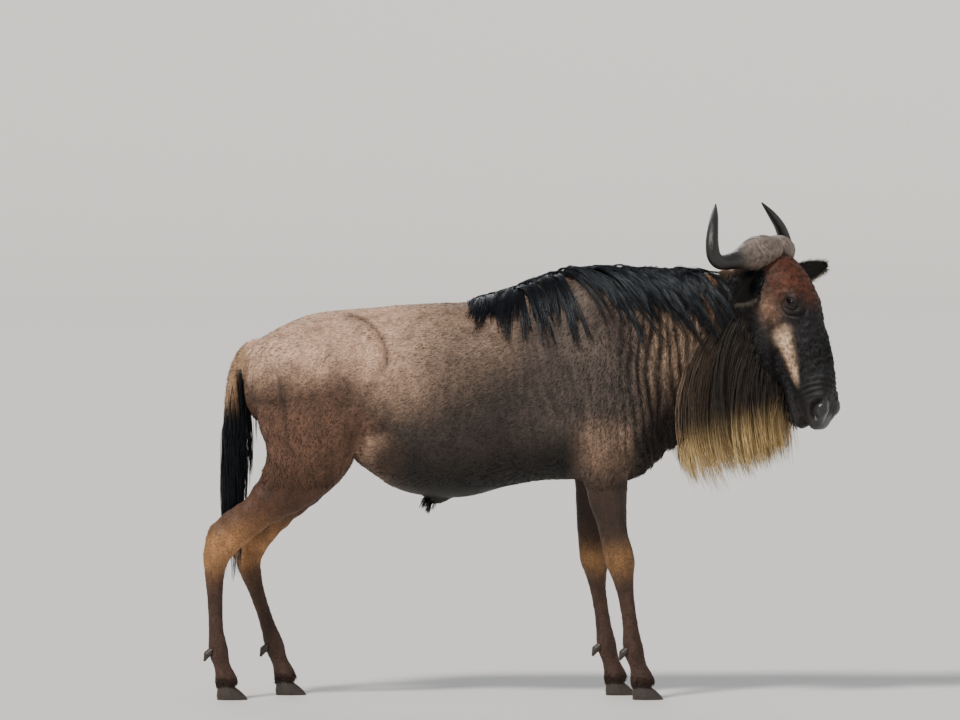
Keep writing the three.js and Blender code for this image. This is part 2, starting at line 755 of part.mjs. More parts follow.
// Mane: most of it falls on the right side. A stretch is [from, to, side, locks, length, start, pull].
const MANE = [
  [-20, 120, -1, 5, 262, V(0.05, -0.7, -0.1), V(-0.05, -0.25, -0.95)],
  [120, 235, -1, 3, 300, V(-0.2, -0.7, 0.1), V(0.1, -0.3, -0.92)],
  [225, 420, -1, 5, 292, V(0.5, -0.6, 0.2), V(0.36, -0.3, -0.86)],
  [430, 560, -1, 4, 290, V(0.8, -0.45, 0.2), V(0.62, -0.3, -0.7)],
  [560, 716, -1, 5, 270, V(0.9, -0.5, 0.1), V(0.5, -0.3, -0.8)],
  [0, 716, 1, 13, 240, V(0.25, 0.8, 0.1), V(0.2, 0.3, -0.92)],
];
const MANE_WIDTH = 54;
const MANE_THICK = 13;

// Beard: rows of locks along the throat and the jaw. A row is [from, to, side, locks, length].
const BEARD = [
  [610, 930, -34, 9, 168],
  [625, 945, -2, 8, 176],
  [640, 940, 30, 7, 160],
];
const BEARD_WIDTH = 50;
const BEARD_THICK = 12;

// Switch of the tail: locks round the dock, from high to low
const SWITCH_LOCKS = 14;
const SWITCH_LENGTH = 330;
const SWITCH_WIDTH = 44;

const chance = seeded(71);
const vary = (amount) => (chance() - 0.5) * 2 * amount;
const hair = [];

for (const [from, to, side, count, length, start, pull] of MANE) {
  for (let k = 0; k < count; k++) {
    const x = THREE.MathUtils.lerp(from, to, (k + 0.5) / count) + vary(6);
    const { middle, top } = trunkAt(x);
    const root = V(x, middle + side * (6 + 10 * chance()), top + 10);
    const short = x < 60 ? 0.75 : 1;
    const line = lockLine(root, start.clone().add(V(vary(0.15), 0, vary(0.1))),
      pull.clone().add(V(vary(0.12), 0, 0)).normalize(), length * short * (1 + vary(0.14)), 0.42);
    hair.push({ line, width: MANE_WIDTH * (1 + vary(0.15)), thick: MANE_THICK });
  }
}
for (const [from, to, off, count, length] of BEARD) {
  for (let k = 0; k < count; k++) {
    const share = (k + 0.5) / count;
    const x = THREE.MathUtils.lerp(from, to, share) + vary(5);
    const { middle, bottom } = trunkAt(Math.min(x, 850));
    const bend = x > 850 ? (x - 850) * 0.5 : 0;
    const root = V(x, middle - bend + off, bottom + 30);
    const line = lockLine(root, V(-0.05, off / 100, -1),
      V(0.62 + vary(0.06), vary(0.06), -0.78).normalize(),
      length * (0.62 + 0.38 * Math.sin(Math.PI * Math.min(1, share + 0.2))) * (1 + vary(0.1)), 0.28);
    hair.push({ line, width: BEARD_WIDTH * (1 + vary(0.15)), thick: BEARD_THICK });
  }
}
const dock = smoothRows(TAIL, 4);
for (let k = 0; k < SWITCH_LOCKS; k++) {
  const share = (k + 0.5) / SWITCH_LOCKS;
  const [x, y, z, depth] = dock[Math.round(THREE.MathUtils.lerp(9, dock.length - 2, share))];
  const angle = k * 2.4;
  const out = V(Math.cos(angle), Math.sin(angle), 0);
  const length = SWITCH_LENGTH * (1 + vary(0.15));
  const line = [];
  for (let i = 0; i <= LOCK_STEPS; i++) {
    const t = i / LOCK_STEPS;
    line.push({
      point: V(x + 4, y, z).addScaledVector(out, depth * 0.4 + 22 * Math.sin(Math.PI * Math.min(1, t + 0.08) * 0.8))
        .add(V(Math.max(0, (z - 700) / 14) * t, 4 * t, -length * t)),
      normal: out.clone(),
    });
  }
  hair.push({ line, width: SWITCH_WIDTH, thick: 16, tail: true });
}

// Each lock belongs to the piece that its root is sunk in.
const torsoSide = (grow) => {
  const box = new THREE.BoxGeometry(1600, 2400, 2400);
  box.translate(-800 + grow, 0, 0);
  box.rotateY(rad(14));
  box.translate(515, 0, 950);
  return solidOf(box);
};
const napeSide = (grow) => {
  const centre = POLL.clone().add(direction(-104, 0, -170));
  const box = new THREE.BoxGeometry(2400, 2400, 2400);
  box.translate(-1200 + grow, 0, 0);
  box.rotateZ(-rad(HEAD_YAW));
  box.translate(centre.x, centre.y, centre.z);
  return solidOf(box);
};
const inTorso = (p) => V(p.x - 515, 0, p.z - 950).applyAxisAngle(V(0, 1, 0), -rad(14)).x < 0;
const inNeck = (p) => p.clone().sub(POLL).sub(direction(-104, 0, -170)).dot(direction(1, 0, 0)) < 0;
const owner = ({ line, tail }) => {
  if (tail) return "tail";
  if (inTorso(line[0].point)) return "torso";
  return inNeck(line[0].point) ? "neck" : "head";
};
const locksOf = (name, grow = 0) => unite(hair.filter((one) => owner(one) === name)
  .map(({ line, width, thick }) => lock(line, width, thick, grow)));

const bodyGrown = body(GAP);
const allGrown = bodyGrown.add(headForms(GAP));
const torsoGrown = allGrown.intersect(torsoSide(GAP));
const neckGrown = allGrown.subtract(torsoSide(-GAP)).intersect(napeSide(GAP));
const headGrown = allGrown.subtract(torsoSide(-GAP)).subtract(napeSide(-GAP));
const torsoHair = locksOf("torso", GAP);
const neckHair = locksOf("neck", GAP);
const torsoLocks = locksOf("torso").subtract(neckGrown).subtract(headGrown);
const neckLocks = locksOf("neck").subtract(torsoGrown).subtract(headGrown).subtract(torsoHair);
const headLocks = locksOf("head").subtract(torsoGrown).subtract(neckGrown).subtract(torsoHair).subtract(neckHair);
const grow = (name, solid) => {
  nodes.get(name)[0] = largest(nodes.get(name)[0].add(solid));
};
grow("torso", torsoLocks);
grow("neck", neckLocks);
grow("head", headLocks);

for (const [name, side] of SIDES) {
  const half = block([900, 900, 900], POLL.clone().add(direction(0, side * (450 + GAP / 2), 0)).toArray(),
    V(0, 0, -rad(HEAD_YAW)));
  const locks = unite([locksOf("head", 3 * GAP), locksOf("neck", 3 * GAP)]);
  nodes.set(`horn_${name}`, [horn(side).subtract(allGrown).subtract(locks).intersect(half), "horn"]);
  nodes.set(`ear_${name}`, [ear(name).subtract(allGrown).subtract(horn(side, GAP)).subtract(locks), "coat"]);
  nodes.set(`eye_${name}`, [ball(EYE_RADIUS, eyeCentre(side)), "eye"]);
}
for (const { label, foot, rows, lean } of feet) {
  nodes.set(`hoof_${label}`, [claw(foot, rows[rows.length - 1], lean), "hoof"]);
  nodes.set(`dewclaw_${label}`, [dewClaw(rows, lean).subtract(leg(rows, GAP)), "hoof"]);
}
nodes.set("tail", [unite([solidOf(limb(TAIL, 12, 1)), locksOf("tail")]).subtract(bodyGrown), "coat"]);

const group = new THREE.Group();
group.name = "wildebeest";
for (const [name, [solid, colour]] of nodes) {
  const material = new THREE.MeshStandardMaterial({ color: COLOURS[colour], roughness: 0.8 });
  const mesh = new THREE.Mesh(geometryOf(largest(solid)), material);
  mesh.name = name;
  group.add(mesh);
}
group.position.set(-ORIGIN_X, -ORIGIN_Y, 0);

export default group;
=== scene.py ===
"""The looks of a standing wildebeest bull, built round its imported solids.

Metres, +Z up, +X towards the head. Sizes in the tables are millimetres.
"""

import math

import bmesh
import bpy
import numpy as np
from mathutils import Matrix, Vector
from mathutils.bvhtree import BVHTree


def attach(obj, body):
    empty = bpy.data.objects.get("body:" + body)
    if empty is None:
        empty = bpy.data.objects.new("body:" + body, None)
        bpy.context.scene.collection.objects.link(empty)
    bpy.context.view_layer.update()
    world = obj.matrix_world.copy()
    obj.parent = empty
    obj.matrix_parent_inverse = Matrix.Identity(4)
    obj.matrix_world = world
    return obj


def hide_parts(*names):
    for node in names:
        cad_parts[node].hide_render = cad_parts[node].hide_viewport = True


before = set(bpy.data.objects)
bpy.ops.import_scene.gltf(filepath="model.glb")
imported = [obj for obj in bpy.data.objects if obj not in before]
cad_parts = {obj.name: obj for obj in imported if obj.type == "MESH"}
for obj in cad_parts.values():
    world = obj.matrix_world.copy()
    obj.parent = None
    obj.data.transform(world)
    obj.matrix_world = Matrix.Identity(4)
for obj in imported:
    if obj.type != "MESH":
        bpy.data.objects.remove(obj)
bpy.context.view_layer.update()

# Driving dimensions, in millimetres, as in the solids
SHIFT = np.array([129.0, -15.0, 0.0])  # middle of the outline, from the middle of the barrel
POLL = np.array([885.0, -72.0, 1344.0])  # crown of the head, between the horns
HEAD_YAW = math.radians(28)
HEAD_PITCH = math.radians(20)
EYE_RADIUS = 20.0
EYE_AT = (176.0, 31.0, 62.0)  # along the face, towards the forehead, out to the side
EYE_SLANT = math.radians(38)  # of the line between the corners, from the line of the face
NOSTRIL_FLAP = (507.0, 8.0)  # along the face and towards the forehead
COAT_DEPTH = 2.0  # of the skin under the solids' surface
SIDES = (("right", -1), ("left", 1))
BAKE_MAP = "OFBake"
rng = np.random.default_rng(17)

# Sizes of the flesh: [along, middle, yaw, top, bottom, half width, height of the widest place,
# roundness above, roundness below]
TRUNK = [
    [-706, 0, 0, 1000, 905, 45, 950, 2, 2],
    [-696, 0, 0, 1044, 862, 92, 955, 2, 2],
    [-660, 0, 0, 1078, 826, 140, 960, 2, 2],
    [-590, 0, 0, 1118, 806, 182, 968, 2.1, 2.1],
    [-510, 0, 0, 1150, 782, 203, 980, 2.1, 2.2],
    [-420, 0, 0, 1164, 745, 205, 985, 2.1, 2.2],
    [-330, 0, 0, 1172, 678, 206, 960, 2, 2.2],
    [-240, 0, 0, 1180, 622, 222, 930, 2, 2.2],
    [-130, 0, 0, 1186, 601, 238, 900, 2, 2.2],
    [-20, 0, 0, 1192, 606, 241, 890, 2, 2.2],
    [90, 0, 0, 1222, 636, 228, 885, 1.9, 2.2],
    [190, 0, 0, 1262, 653, 208, 880, 1.8, 2.2],
    [290, 0, 0, 1286, 655, 196, 880, 1.7, 2.1],
    [390, 0, 0, 1286, 648, 188, 870, 1.7, 2],
    [480, -2, -2, 1280, 668, 166, 900, 1.8, 1.9],
    [560, -8, -7, 1279, 738, 132, 960, 1.9, 1.8],
    [640, -20, -14, 1276, 790, 108, 1010, 2, 1.8],
    [710, -36, -20, 1274, 828, 94, 1040, 2, 1.9],
    [780, -54, -25, 1280, 842, 92, 1070, 2, 1.9],
    [840, -76, -28, 1290, 868, 88, 1110, 2, 2],
    [890, -98, -28, 1268, 930, 70, 1130, 2, 2],
]
SKULL = [
    [-18, 0, 0, -10, -118, 46, -60, 2, 2],
    [0, 0, 0, 12, -140, 66, -60, 2.2, 2.2],
    [45, 0, 0, 46, -158, 80, -52, 2.3, 2.3],
    [100, 0, 0, 66, -168, 86, -44, 2.4, 2.3],
    [150, 0, 0, 76, -170, 86, -36, 2.4, 2.3],
    [200, 0, 0, 79, -160, 80, -30, 2.3, 2.2],
    [255, 0, 0, 75, -134, 68, -26, 2.2, 2.1],
    [320, 0, 0, 69, -104, 58, -18, 2.2, 2.1],
    [385, 0, 0, 63, -88, 54, -14, 2.2, 2.2],
    [440, 0, 0, 46, -80, 56, -14, 2.2, 2.3],
    [485, 0, 0, 26, -76, 60, -24, 2.3, 2.4],
    [520, 0, 0, 2, -70, 57, -28, 2.3, 2.4],
    [543, 0, 0, -18, -62, 44, -38, 2.1, 2.1],
    [552, 0, 0, -28, -50, 22, -39, 2, 2],
]
LOWER_JAW = [
    [262, 0, 0, -60, -132, 48, -96, 2.2, 2.2],
    [330, 0, 0, -58, -118, 46, -90, 2.2, 2.2],
    [400, 0, 0, -64, -112, 42, -90, 2.2, 2.2],
    [460, 0, 0, -74, -114, 42, -96, 2.2, 2.2],
    [505, 0, 0, -76, -114, 40, -96, 2.2, 2.2],
    [528, 0, 0, -78, -106, 28, -92, 2, 2],
]
# Tubes in the head's frame: [along, up, side, radius]
THROAT = [[20, -120, 0, 66], [110, -150, 0, 82], [210, -160, 0, 80], [300, -146, 0, 62], [370, -118, 0, 34]]
BROW = [[112, 22, 56, 18], [146, 34, 60, 22], [178, 38, 58, 23], [214, 30, 50, 18]]
CHEEK = [[90, -76, 56, 32], [150, -100, 58, 46], [210, -98, 52, 40], [280, -66, 44, 20]]
NOSTRIL_SWELL = [[446, 14, 34, 16], [476, 8, 40, 22], [506, -12, 38, 22], [528, -28, 26, 16]]
# Limbs: [x, y, z, half depth, half width]; y is for the left side
SHOULDER = [
    [292, 60, 1262, 12, 10], [304, 104, 1190, 60, 30], [332, 136, 1080, 94, 46], [376, 146, 960, 114, 56],
    [404, 146, 860, 112, 56], [392, 132, 765, 98, 56], [372, 116, 690, 60, 40],
]
HAUNCH = [
    [-500, 70, 1128, 20, 12], [-502, 112, 1080, 118, 56], [-504, 130, 990, 172, 78],
    [-505, 132, 900, 180, 78],
]
SHEATH = [[-120, 0, 640, 60, 34], [-140, 0, 612, 42, 26], [-160, 0, 594, 16, 12]]
LEGS = {
    ("fore", "right"): [
        [362, -112, 790, 84, 56], [368, -110, 720, 84, 54], [378, -106, 640, 64, 44],
        [390, -103, 552, 50, 37],
        [401, -101, 489, 43, 35], [414, -99, 438, 45, 38], [421, -98, 404, 44, 38], [427, -97, 366, 34, 30],
        [437, -96, 306, 25, 22], [449, -94, 222, 24, 21], [459, -93, 152, 31, 27], [472, -93, 104, 26, 24],
        [484, -92, 64, 34, 30], [489, -92, 43, 33, 27],
    ],
    ("fore", "left"): [
        [362, 112, 790, 84, 56], [358, 110, 720, 82, 54], [346, 106, 640, 62, 44], [338, 103, 552, 49, 37],
        [336, 101, 489, 43, 35], [342, 99, 438, 45, 38], [346, 98, 404, 44, 38], [350, 97, 366, 34, 30],
        [358, 96, 306, 25, 22], [371, 94, 222, 24, 21], [381, 93, 152, 31, 27], [394, 93, 104, 26, 24],
        [406, 92, 64, 34, 30], [411, 92, 43, 33, 27],
    ],
    ("hind", "right"): [
        [-500, -128, 935, 178, 80], [-504, -128, 822, 162, 78], [-524, -124, 726, 130, 68],
        [-580, -118, 640, 90, 52],
        [-660, -112, 568, 58, 40], [-728, -107, 506, 50, 34], [-776, -104, 458, 50, 33],
        [-793, -102, 396, 36, 27],
        [-792, -101, 300, 25, 22], [-789, -100, 210, 25, 22], [-783, -99, 150, 32, 27],
        [-772, -99, 104, 27, 24],
        [-760, -98, 64, 34, 30], [-755, -98, 43, 33, 27],
    ],
    ("hind", "left"): [
        [-500, 128, 935, 178, 80], [-498, 128, 822, 160, 78], [-508, 124, 726, 128, 68],
        [-548, 118, 640, 88, 52],
        [-608, 112, 560, 58, 40], [-664, 107, 492, 50, 34], [-696, 104, 438, 49, 33],
        [-694, 102, 380, 36, 27],
        [-668, 101, 296, 25, 22], [-640, 100, 212, 25, 22], [-620, 99, 150, 32, 27],
        [-604, 99, 104, 27, 24],
        [-590, 98, 64, 34, 30], [-585, 98, 43, 33, 27],
    ],
}
TAIL = [
    [-640, 0, 1060, 26, 24], [-690, -4, 1046, 26, 24], [-724, -10, 1000, 24, 22], [-742, -16, 930, 22, 20],
    [-750, -20, 850, 19, 18], [-750, -22, 770, 15, 14], [-746, -22, 700, 9, 9],
]
# Horn: [forward, out to the side, up, radius fore and aft, radius up and down] from the crown
HORN = [
    [-6, 1, 2, 40, 34], [-12, 28, 2, 50, 44], [-24, 66, -4, 51, 49], [-40, 106, -14, 43, 41],
    [-56, 146, -24, 31, 29],
    [-70, 186, -31, 24, 24], [-80, 222, -30, 22.5, 22.5], [-86, 246, -10, 21.5, 21.5],
    [-91, 246, 28, 20, 20],
    [-98, 226, 68, 17, 17], [-110, 192, 106, 12, 12], [-124, 156, 140, 3, 3],
]
EARS = {
    "right": {"root": (84, -40, -56), "tip": (127, -89, -200), "open": (0.2, -0.93, -0.1)},
    "left": {"root": (84, -34, 56), "tip": (71, 54, 212), "open": (0.45, -0.85, -0.2)},
}
EAR_HALF_WIDTH = 34.0


# Directions of the head's frame

def turned(x, y, z):
    c, s = math.cos(HEAD_YAW), math.sin(HEAD_YAW)
    return np.array([c * x + s * y, -s * x + c * y, z])


FACE = turned(math.sin(HEAD_PITCH), 0, -math.cos(HEAD_PITCH))
BROWWARD = turned(math.cos(HEAD_PITCH), 0, math.sin(HEAD_PITCH))
LATERAL = turned(0, 1, 0)
WORLD_AXES = (np.zeros(3), np.array([1.0, 0, 0]), np.array([0, 1.0, 0]), np.array([0, 0, 1.0]))
HEAD_AXES = (POLL, FACE, LATERAL, BROWWARD)


def in_head(along, up, side):
    return POLL + FACE * along + BROWWARD * up + LATERAL * side


def head_place(points):
    """Where millimetre points are along the face, towards the forehead and out to the left."""
    off = points - POLL
    return off @ FACE, off @ BROWWARD, off @ LATERAL


def metres(points):
    return (np.asarray(points, float) - SHIFT) / 1000


def millimetres(points):
    return np.asarray(points, float) * 1000 + SHIFT


def ramp(low, high, value):
    t = np.clip((value - low) / (high - low), 0, 1)
    return t * t * (3 - 2 * t)


def unit(vectors):
    return vectors / np.maximum(np.linalg.norm(vectors, axis=-1, keepdims=True), 1e-9)


# Smooth noise on a lattice, the same on every run
LATTICE = np.random.default_rng(5).random((32, 32, 32))


def noise(points, size):
    """Soft noise from -1 to 1 whose patches are about `size` millimetres across."""
    place = points / size + 100.5
    base = np.floor(place).astype(int)
    part = place - base
    part = part * part * (3 - 2 * part)
    total = np.zeros(len(points))
    for corner in range(8):
        pick = np.array([corner & 1, corner >> 1 & 1, corner >> 2 & 1])
        weight = np.prod(np.where(pick, part, 1 - part), axis=1)
        i, j, k = ((base + pick) % 32).T
        total += weight * LATTICE[i, j, k]
    return total * 2 - 1


# Bodies through rings of points

def smooth_rows(rows, steps):
    rows = np.array(rows, float)
    fine = []
    for i in range(len(rows) - 1):
        m0 = (rows[i + 1] - rows[max(i - 1, 0)]) / 2
        m1 = (rows[min(i + 2, len(rows) - 1)] - rows[i]) / 2
        for k in range(steps):
            t = k / steps
            fine.append((2 * t ** 3 - 3 * t ** 2 + 1) * rows[i] + (t ** 3 - 2 * t ** 2 + t) * m0
                        + (3 * t ** 2 - 2 * t ** 3) * rows[i + 1] + (t ** 3 - t ** 2) * m1)
    fine.append(rows[-1])
    return np.array(fine)


def egg_rings(rows, axes, sides, steps, inset=0.0):
    origin, along_axis, side_axis, up_axis = axes
    angles = np.arange(sides) * 2 * math.pi / sides
    rings = []
    for along, side, yaw, top, bottom, half, wide, above, below in smooth_rows(rows, steps):
        turn = math.radians(yaw)
        out = side_axis * math.cos(turn) + np.cross(up_axis, side_axis) * math.sin(turn)
        power = 2 / np.where(np.sin(angles) >= 0, above, below)
        reach = np.sign(np.cos(angles)) * np.abs(np.cos(angles)) ** power * (half - inset)
        lift = np.sign(np.sin(angles)) * np.abs(np.sin(angles)) ** power
        height = wide + lift * np.where(lift >= 0, top - inset - wide, wide - bottom - inset)
        rings.append(origin + along_axis * along + side_axis * side
                     + height[:, None] * up_axis + reach[:, None] * out)
    return rings


def limb_rings(rows, sides, steps, inset=0.0):
    fine = smooth_rows(rows, steps)
    angles = np.arange(sides) * 2 * math.pi / sides
    rings = []
    for i, row in enumerate(fine):
        line = unit(fine[min(i + 1, len(fine) - 1)][:3] - fine[max(i - 1, 0)][:3])
        side = unit(np.array([0, 1.0, 0]) - line * line[1])
        depth = np.cross(side, line)
        rings.append(row[:3] + np.cos(angles)[:, None] * depth * max(row[3] - inset, 2)
                     + np.sin(angles)[:, None] * side * max(row[4] - inset, 2))
    return rings


def tube_rings(middles, radii, sides):
    angles = np.arange(sides) * 2 * math.pi / sides
    rings = []
    for i, middle in enumerate(middles):
        line = unit(middles[min(i + 1, len(middles) - 1)] - middles[max(i - 1, 0)])
        first = unit(np.cross([0.31, 0.17, 0.93], line))
        second = np.cross(line, first)
        rings.append(middle + radii[i] * (np.cos(angles)[:, None] * first + np.sin(angles)[:, None] * second))
    return rings


def head_tube(rows, side, sides, inset=0.0):
    fine = smooth_rows(rows, 3)
    middles = [in_head(along, up, side * out) for along, up, out, _ in fine]
    return tube_rings(middles, fine[:, 3] - inset, sides)


def ring_body(rings):
    """Corners and faces of a closed body through rings of equal count."""
    sides = len(rings[0])
    corners = np.concatenate(list(rings) + [[rings[0].mean(axis=0)], [rings[-1].mean(axis=0)]])
    faces = []
    for r in range(len(rings) - 1):
        for k in range(sides):
            a, b = r * sides + k, r * sides + (k + 1) % sides
            faces.append((a, b, b + sides, a + sides))
    last = (len(rings) - 1) * sides
    for k in range(sides):
        faces.append((len(corners) - 2, (k + 1) % sides, k))
        faces.append((len(corners) - 1, last + k, last + (k + 1) % sides))
    return corners, faces


def joined(bodies):
    corners, faces, start = [], [], 0
    for points, polygons in bodies:
        corners.append(points)
        faces += [tuple(i + start for i in polygon) for polygon in polygons]
        start += len(points)
    return np.concatenate(corners), faces


def linked(name, data):
    """A new object in the scene that shows a mesh, a light or a camera."""
    made = bpy.data.objects.new(name, data)
    bpy.context.collection.objects.link(made)
    return made


def new_piece(name, points, faces, material):
    """A smooth mesh piece from millimetre points, with its faces turned outwards."""
    mesh = bpy.data.meshes.new(name)
    mesh.from_pydata(metres(points).tolist(), [], faces)
    mesh.validate()
    mesh.update()
    mesh.materials.append(material)
    mesh.shade_smooth()
    work = bmesh.new()
    work.from_mesh(mesh)
    bmesh.ops.recalc_face_normals(work, faces=work.faces)
    work.to_mesh(mesh)
    work.free()
    return linked(name, mesh)


def remesh_piece(piece, voxel):
    """Turns the piece's mesh into one even skin, with faces `voxel` metres across."""
    remesh = piece.modifiers.new("remesh", "REMESH")
    remesh.mode = "VOXEL"
    remesh.voxel_size = voxel
    graph = bpy.context.evaluated_depsgraph_get()
    mesh = bpy.data.meshes.new_from_object(piece.evaluated_get(graph))
    old = piece.data
    piece.modifiers.clear()
    piece.data = mesh
    bpy.data.meshes.remove(old)


def read_rows(items, key, width, kind=np.float32):
    """One property of a mesh's points, edges or corners, a row for each."""
    flat = np.empty(len(items) * width, kind)
    items.foreach_get(key, flat)
    return flat.reshape(-1, width)


def points_of(mesh):
    return read_rows(mesh.vertices, "co", 3).astype(float)


def normals_of(mesh):
    return read_rows(mesh.vertex_normals, "vector", 3).astype(float)


def put_points(mesh, points):
    mesh.vertices.foreach_set("co", points.astype(np.float32).ravel())
    mesh.update()


# Smoothing takes turns to pull points in and to push them out, so that forms keep their size
PULL_IN, PUSH_OUT = 0.5, -0.47


def relax(mesh, rounds, share):
    """Smooths the mesh, with a share for each point."""
    a, b = read_rows(mesh.edges, "vertices", 2, np.int32).T
    points = points_of(mesh)
    count = np.maximum(np.bincount(a, minlength=len(points)) + np.bincount(b, minlength=len(points)), 1)
    for turn in range(rounds):
        pull = PULL_IN if turn % 2 == 0 else PUSH_OUT
        mean = np.empty_like(points)
        for axis in range(3):
            mean[:, axis] = (np.bincount(a, points[b, axis], len(points))
                             + np.bincount(b, points[a, axis], len(points))) / count
        points += (mean - points) * pull * share[:, None]
    put_points(mesh, points)


# Colours: sRGB hex values of the animal's parts, turned linear; some of them also carry painted shade and
# highlights, as their names say

def linear(code):
    values = [int(code[i:i + 2], 16) / 255 for i in (0, 2, 4)]
    return np.array([v / 12.92 if v <= 0.04045 else ((v + 0.055) / 1.055) ** 2.4 for v in values])


# the rump's paler hair, made lighter still as a painted highlight on its sunlit top
PALE_SUNLIT_RUMP = linear("b08f78")
BACK = linear("766050")
FLANK = linear("302823")
# near black: the belly's hair with painted shade under the barrel
SHADED_BELLY = linear("0a0706")
THIGH = linear("5d4233")
GASKIN = linear("432a1d")
HOCK = linear("ab7c4f")
SHIN = linear("3a271e")
SHOULDER_HAIR = linear("443a34")
# paler patch painted on the upper arm as a highlight
UPPER_ARM_HIGHLIGHT = linear("8f735f")
FOREARM = linear("2f211a")
KNEE = linear("90683f")
NECK = linear("806a58")
# near black of the brindle stripes, also used as painted shade in the creases of the haunch and thigh
STRIPE_AND_CREASE_SHADE = linear("120e0e")
NAPE = linear("a27a5b")
THROAT_HAIR = linear("3a2b20")
BRISKET = linear("211813")
FACE_HAIR = linear("0e0f13")
FOREHEAD = linear("482313")
CHEEK_STRIPE = linear("d2b395")
CHEEK_DARK = linear("17161a")
EYE_SKIN = linear("0d0b0d")
MUZZLE = linear("131112")
NOSE_LEATHER = linear("2f2f31")
EAR_HAIR = linear("0b0908")
EAR_INSIDE = linear("221f1b")
EAR_FRINGE = linear("5f5a50")
MANE_HAIR = linear("090a0e")
TAIL_HAIR = linear("0c0d10")
DOCK_HAIR = linear("8a6d54")
BEARD_ROOT = linear("302318")
BEARD_TIP = linear("f6d292")


def blend(colour, other, share):
    return colour + (other - colour) * share[:, None]


TRUNK_TABLE = np.array(TRUNK, float)
STRIPE_GAP = 27.0
HAUNCH_FOLD = (-405.0, 1023.0, 122.0)  # middle along, height and radius of the curved crease on the haunch


def trunk_height(points):
    """0 at the belly's line and 1 at the back's."""
    top = np.interp(points[:, 0], TRUNK_TABLE[:, 0], TRUNK_TABLE[:, 3])
    bottom = np.interp(points[:, 0], TRUNK_TABLE[:, 0], TRUNK_TABLE[:, 4])
    return (points[:, 2] - bottom) / (top - bottom)


def stripes(points):
    """Dark brindle stripes down the neck and shoulder, from 0 to 1."""
    x, z = points[:, 0], points[:, 2]
    wander = noise(points * [1, 1, 0.25], 46) * 17 + noise(points * [1, 1, 0.3], 150) * 30
    wave = np.sin((x + 0.12 * (z - 900) + wander) * 2 * math.pi / STRIPE_GAP)
    area = ramp(-60, 120, x) * ramp(655, 760, z) * (1 - ramp(760, 850, x))
    patchy = ramp(-0.55, 0.25, noise(points * [1, 1, 0.5] + 70, 95))
    area *= patchy * 0.4 + (1 - patchy * 0.4) * ramp(330, 500, x)
    return np.clip(ramp(-0.35, 0.75, wave + 0.7 * noise(points * [1, 1, 0.35], 26)), 0, 1) * area


def haunch_fold(points):
    """Strength of the curved fold over the haunch, and the distance out from its line."""
    x, y, z = points.T
    cx, cz, radius = HAUNCH_FOLD
    angle = np.arctan2(z - cz, x - cx)
    arc = ramp(-0.45, 0.05, angle) * (1 - ramp(1.3, 1.8, angle)) * ramp(30, 60, np.abs(y))
    return arc, np.hypot(x - cx, z - cz) - radius


def thigh_line(points):
    """Strength of the crease between the muscles at the back of the thigh."""
    x, _, z = points.T
    return np.exp(-((x + 594 + 0.145 * (z - 924)) / 9) ** 2) * ramp(730, 790, z) * ramp(1000, 930, z)


def is_head(points):
    along, up, _ = head_place(points)
    return ramp(-40, 40, along) * (1 - ramp(560, 600, along)) * ramp(-215, -165, up + along * 0.08)


def face_colour(points, low):
    """Colour of the head: dark cheeks, black blaze, russet forehead, and a pale stripe under the eye.

    `low` is broad noise that breaks up the borders.
    """
    along, up, side = head_place(points)
    jowl = ramp(-110, -170, up) * ramp(80, 200, along)
    face = blend(np.tile(CHEEK_DARK, (len(points), 1)), THROAT_HAIR, jowl)
    edge = 12 * low
    front = ramp(8, 34, up + edge - 0.05 * (along - 200))
    face = blend(face, FACE_HAIR, np.maximum(front, ramp(300, 420, along + edge)))
    forehead = ramp(215, 120, along - 0.5 * (up - 40) + edge) * ramp(-45, -5, up + edge)
    face = blend(face, FOREHEAD, forehead * ramp(-0.75, 0.35, noise(points, 22) + 0.45))
    wedge = np.interp(along, [190, 240, 330, 410], [25, 27, 20, 9])
    cheek = np.exp(-(np.abs(up + 30 + 0.09 * (along - 200)) / wedge) ** 3)
    cheek *= ramp(205, 250, along + edge) * (1 - ramp(370, 430, along + edge))
    cheek *= ramp(-1.3, -0.3, noise(points, 11))
    face = blend(face, CHEEK_STRIPE, cheek * 0.9)
    tan = np.exp(-((along - 165) / 50) ** 2) * np.exp(-((up + 40) / 30) ** 2)
    face = blend(face, FOREHEAD * 1.2 + CHEEK_STRIPE * 0.22, tan * 0.8)
    lateral = np.abs(side)
    eye = np.exp(-(((along - EYE_AT[0]) / 30) ** 2 + ((up - EYE_AT[1]) / 21) ** 2)) * ramp(30, 50, lateral)
    gland = np.exp(-(((along - 214) / 26) ** 2 + ((up - 26) / 15) ** 2)) * ramp(30, 45, lateral)
    face = blend(face, EYE_SKIN, np.clip(eye * 1.2, 0, 1))
    face = blend(face, EYE_SKIN, np.clip(gland, 0, 1) * 0.9)
    face = blend(face, MUZZLE, ramp(420, 470, along))
    return blend(face, NOSE_LEATHER, leather(points))


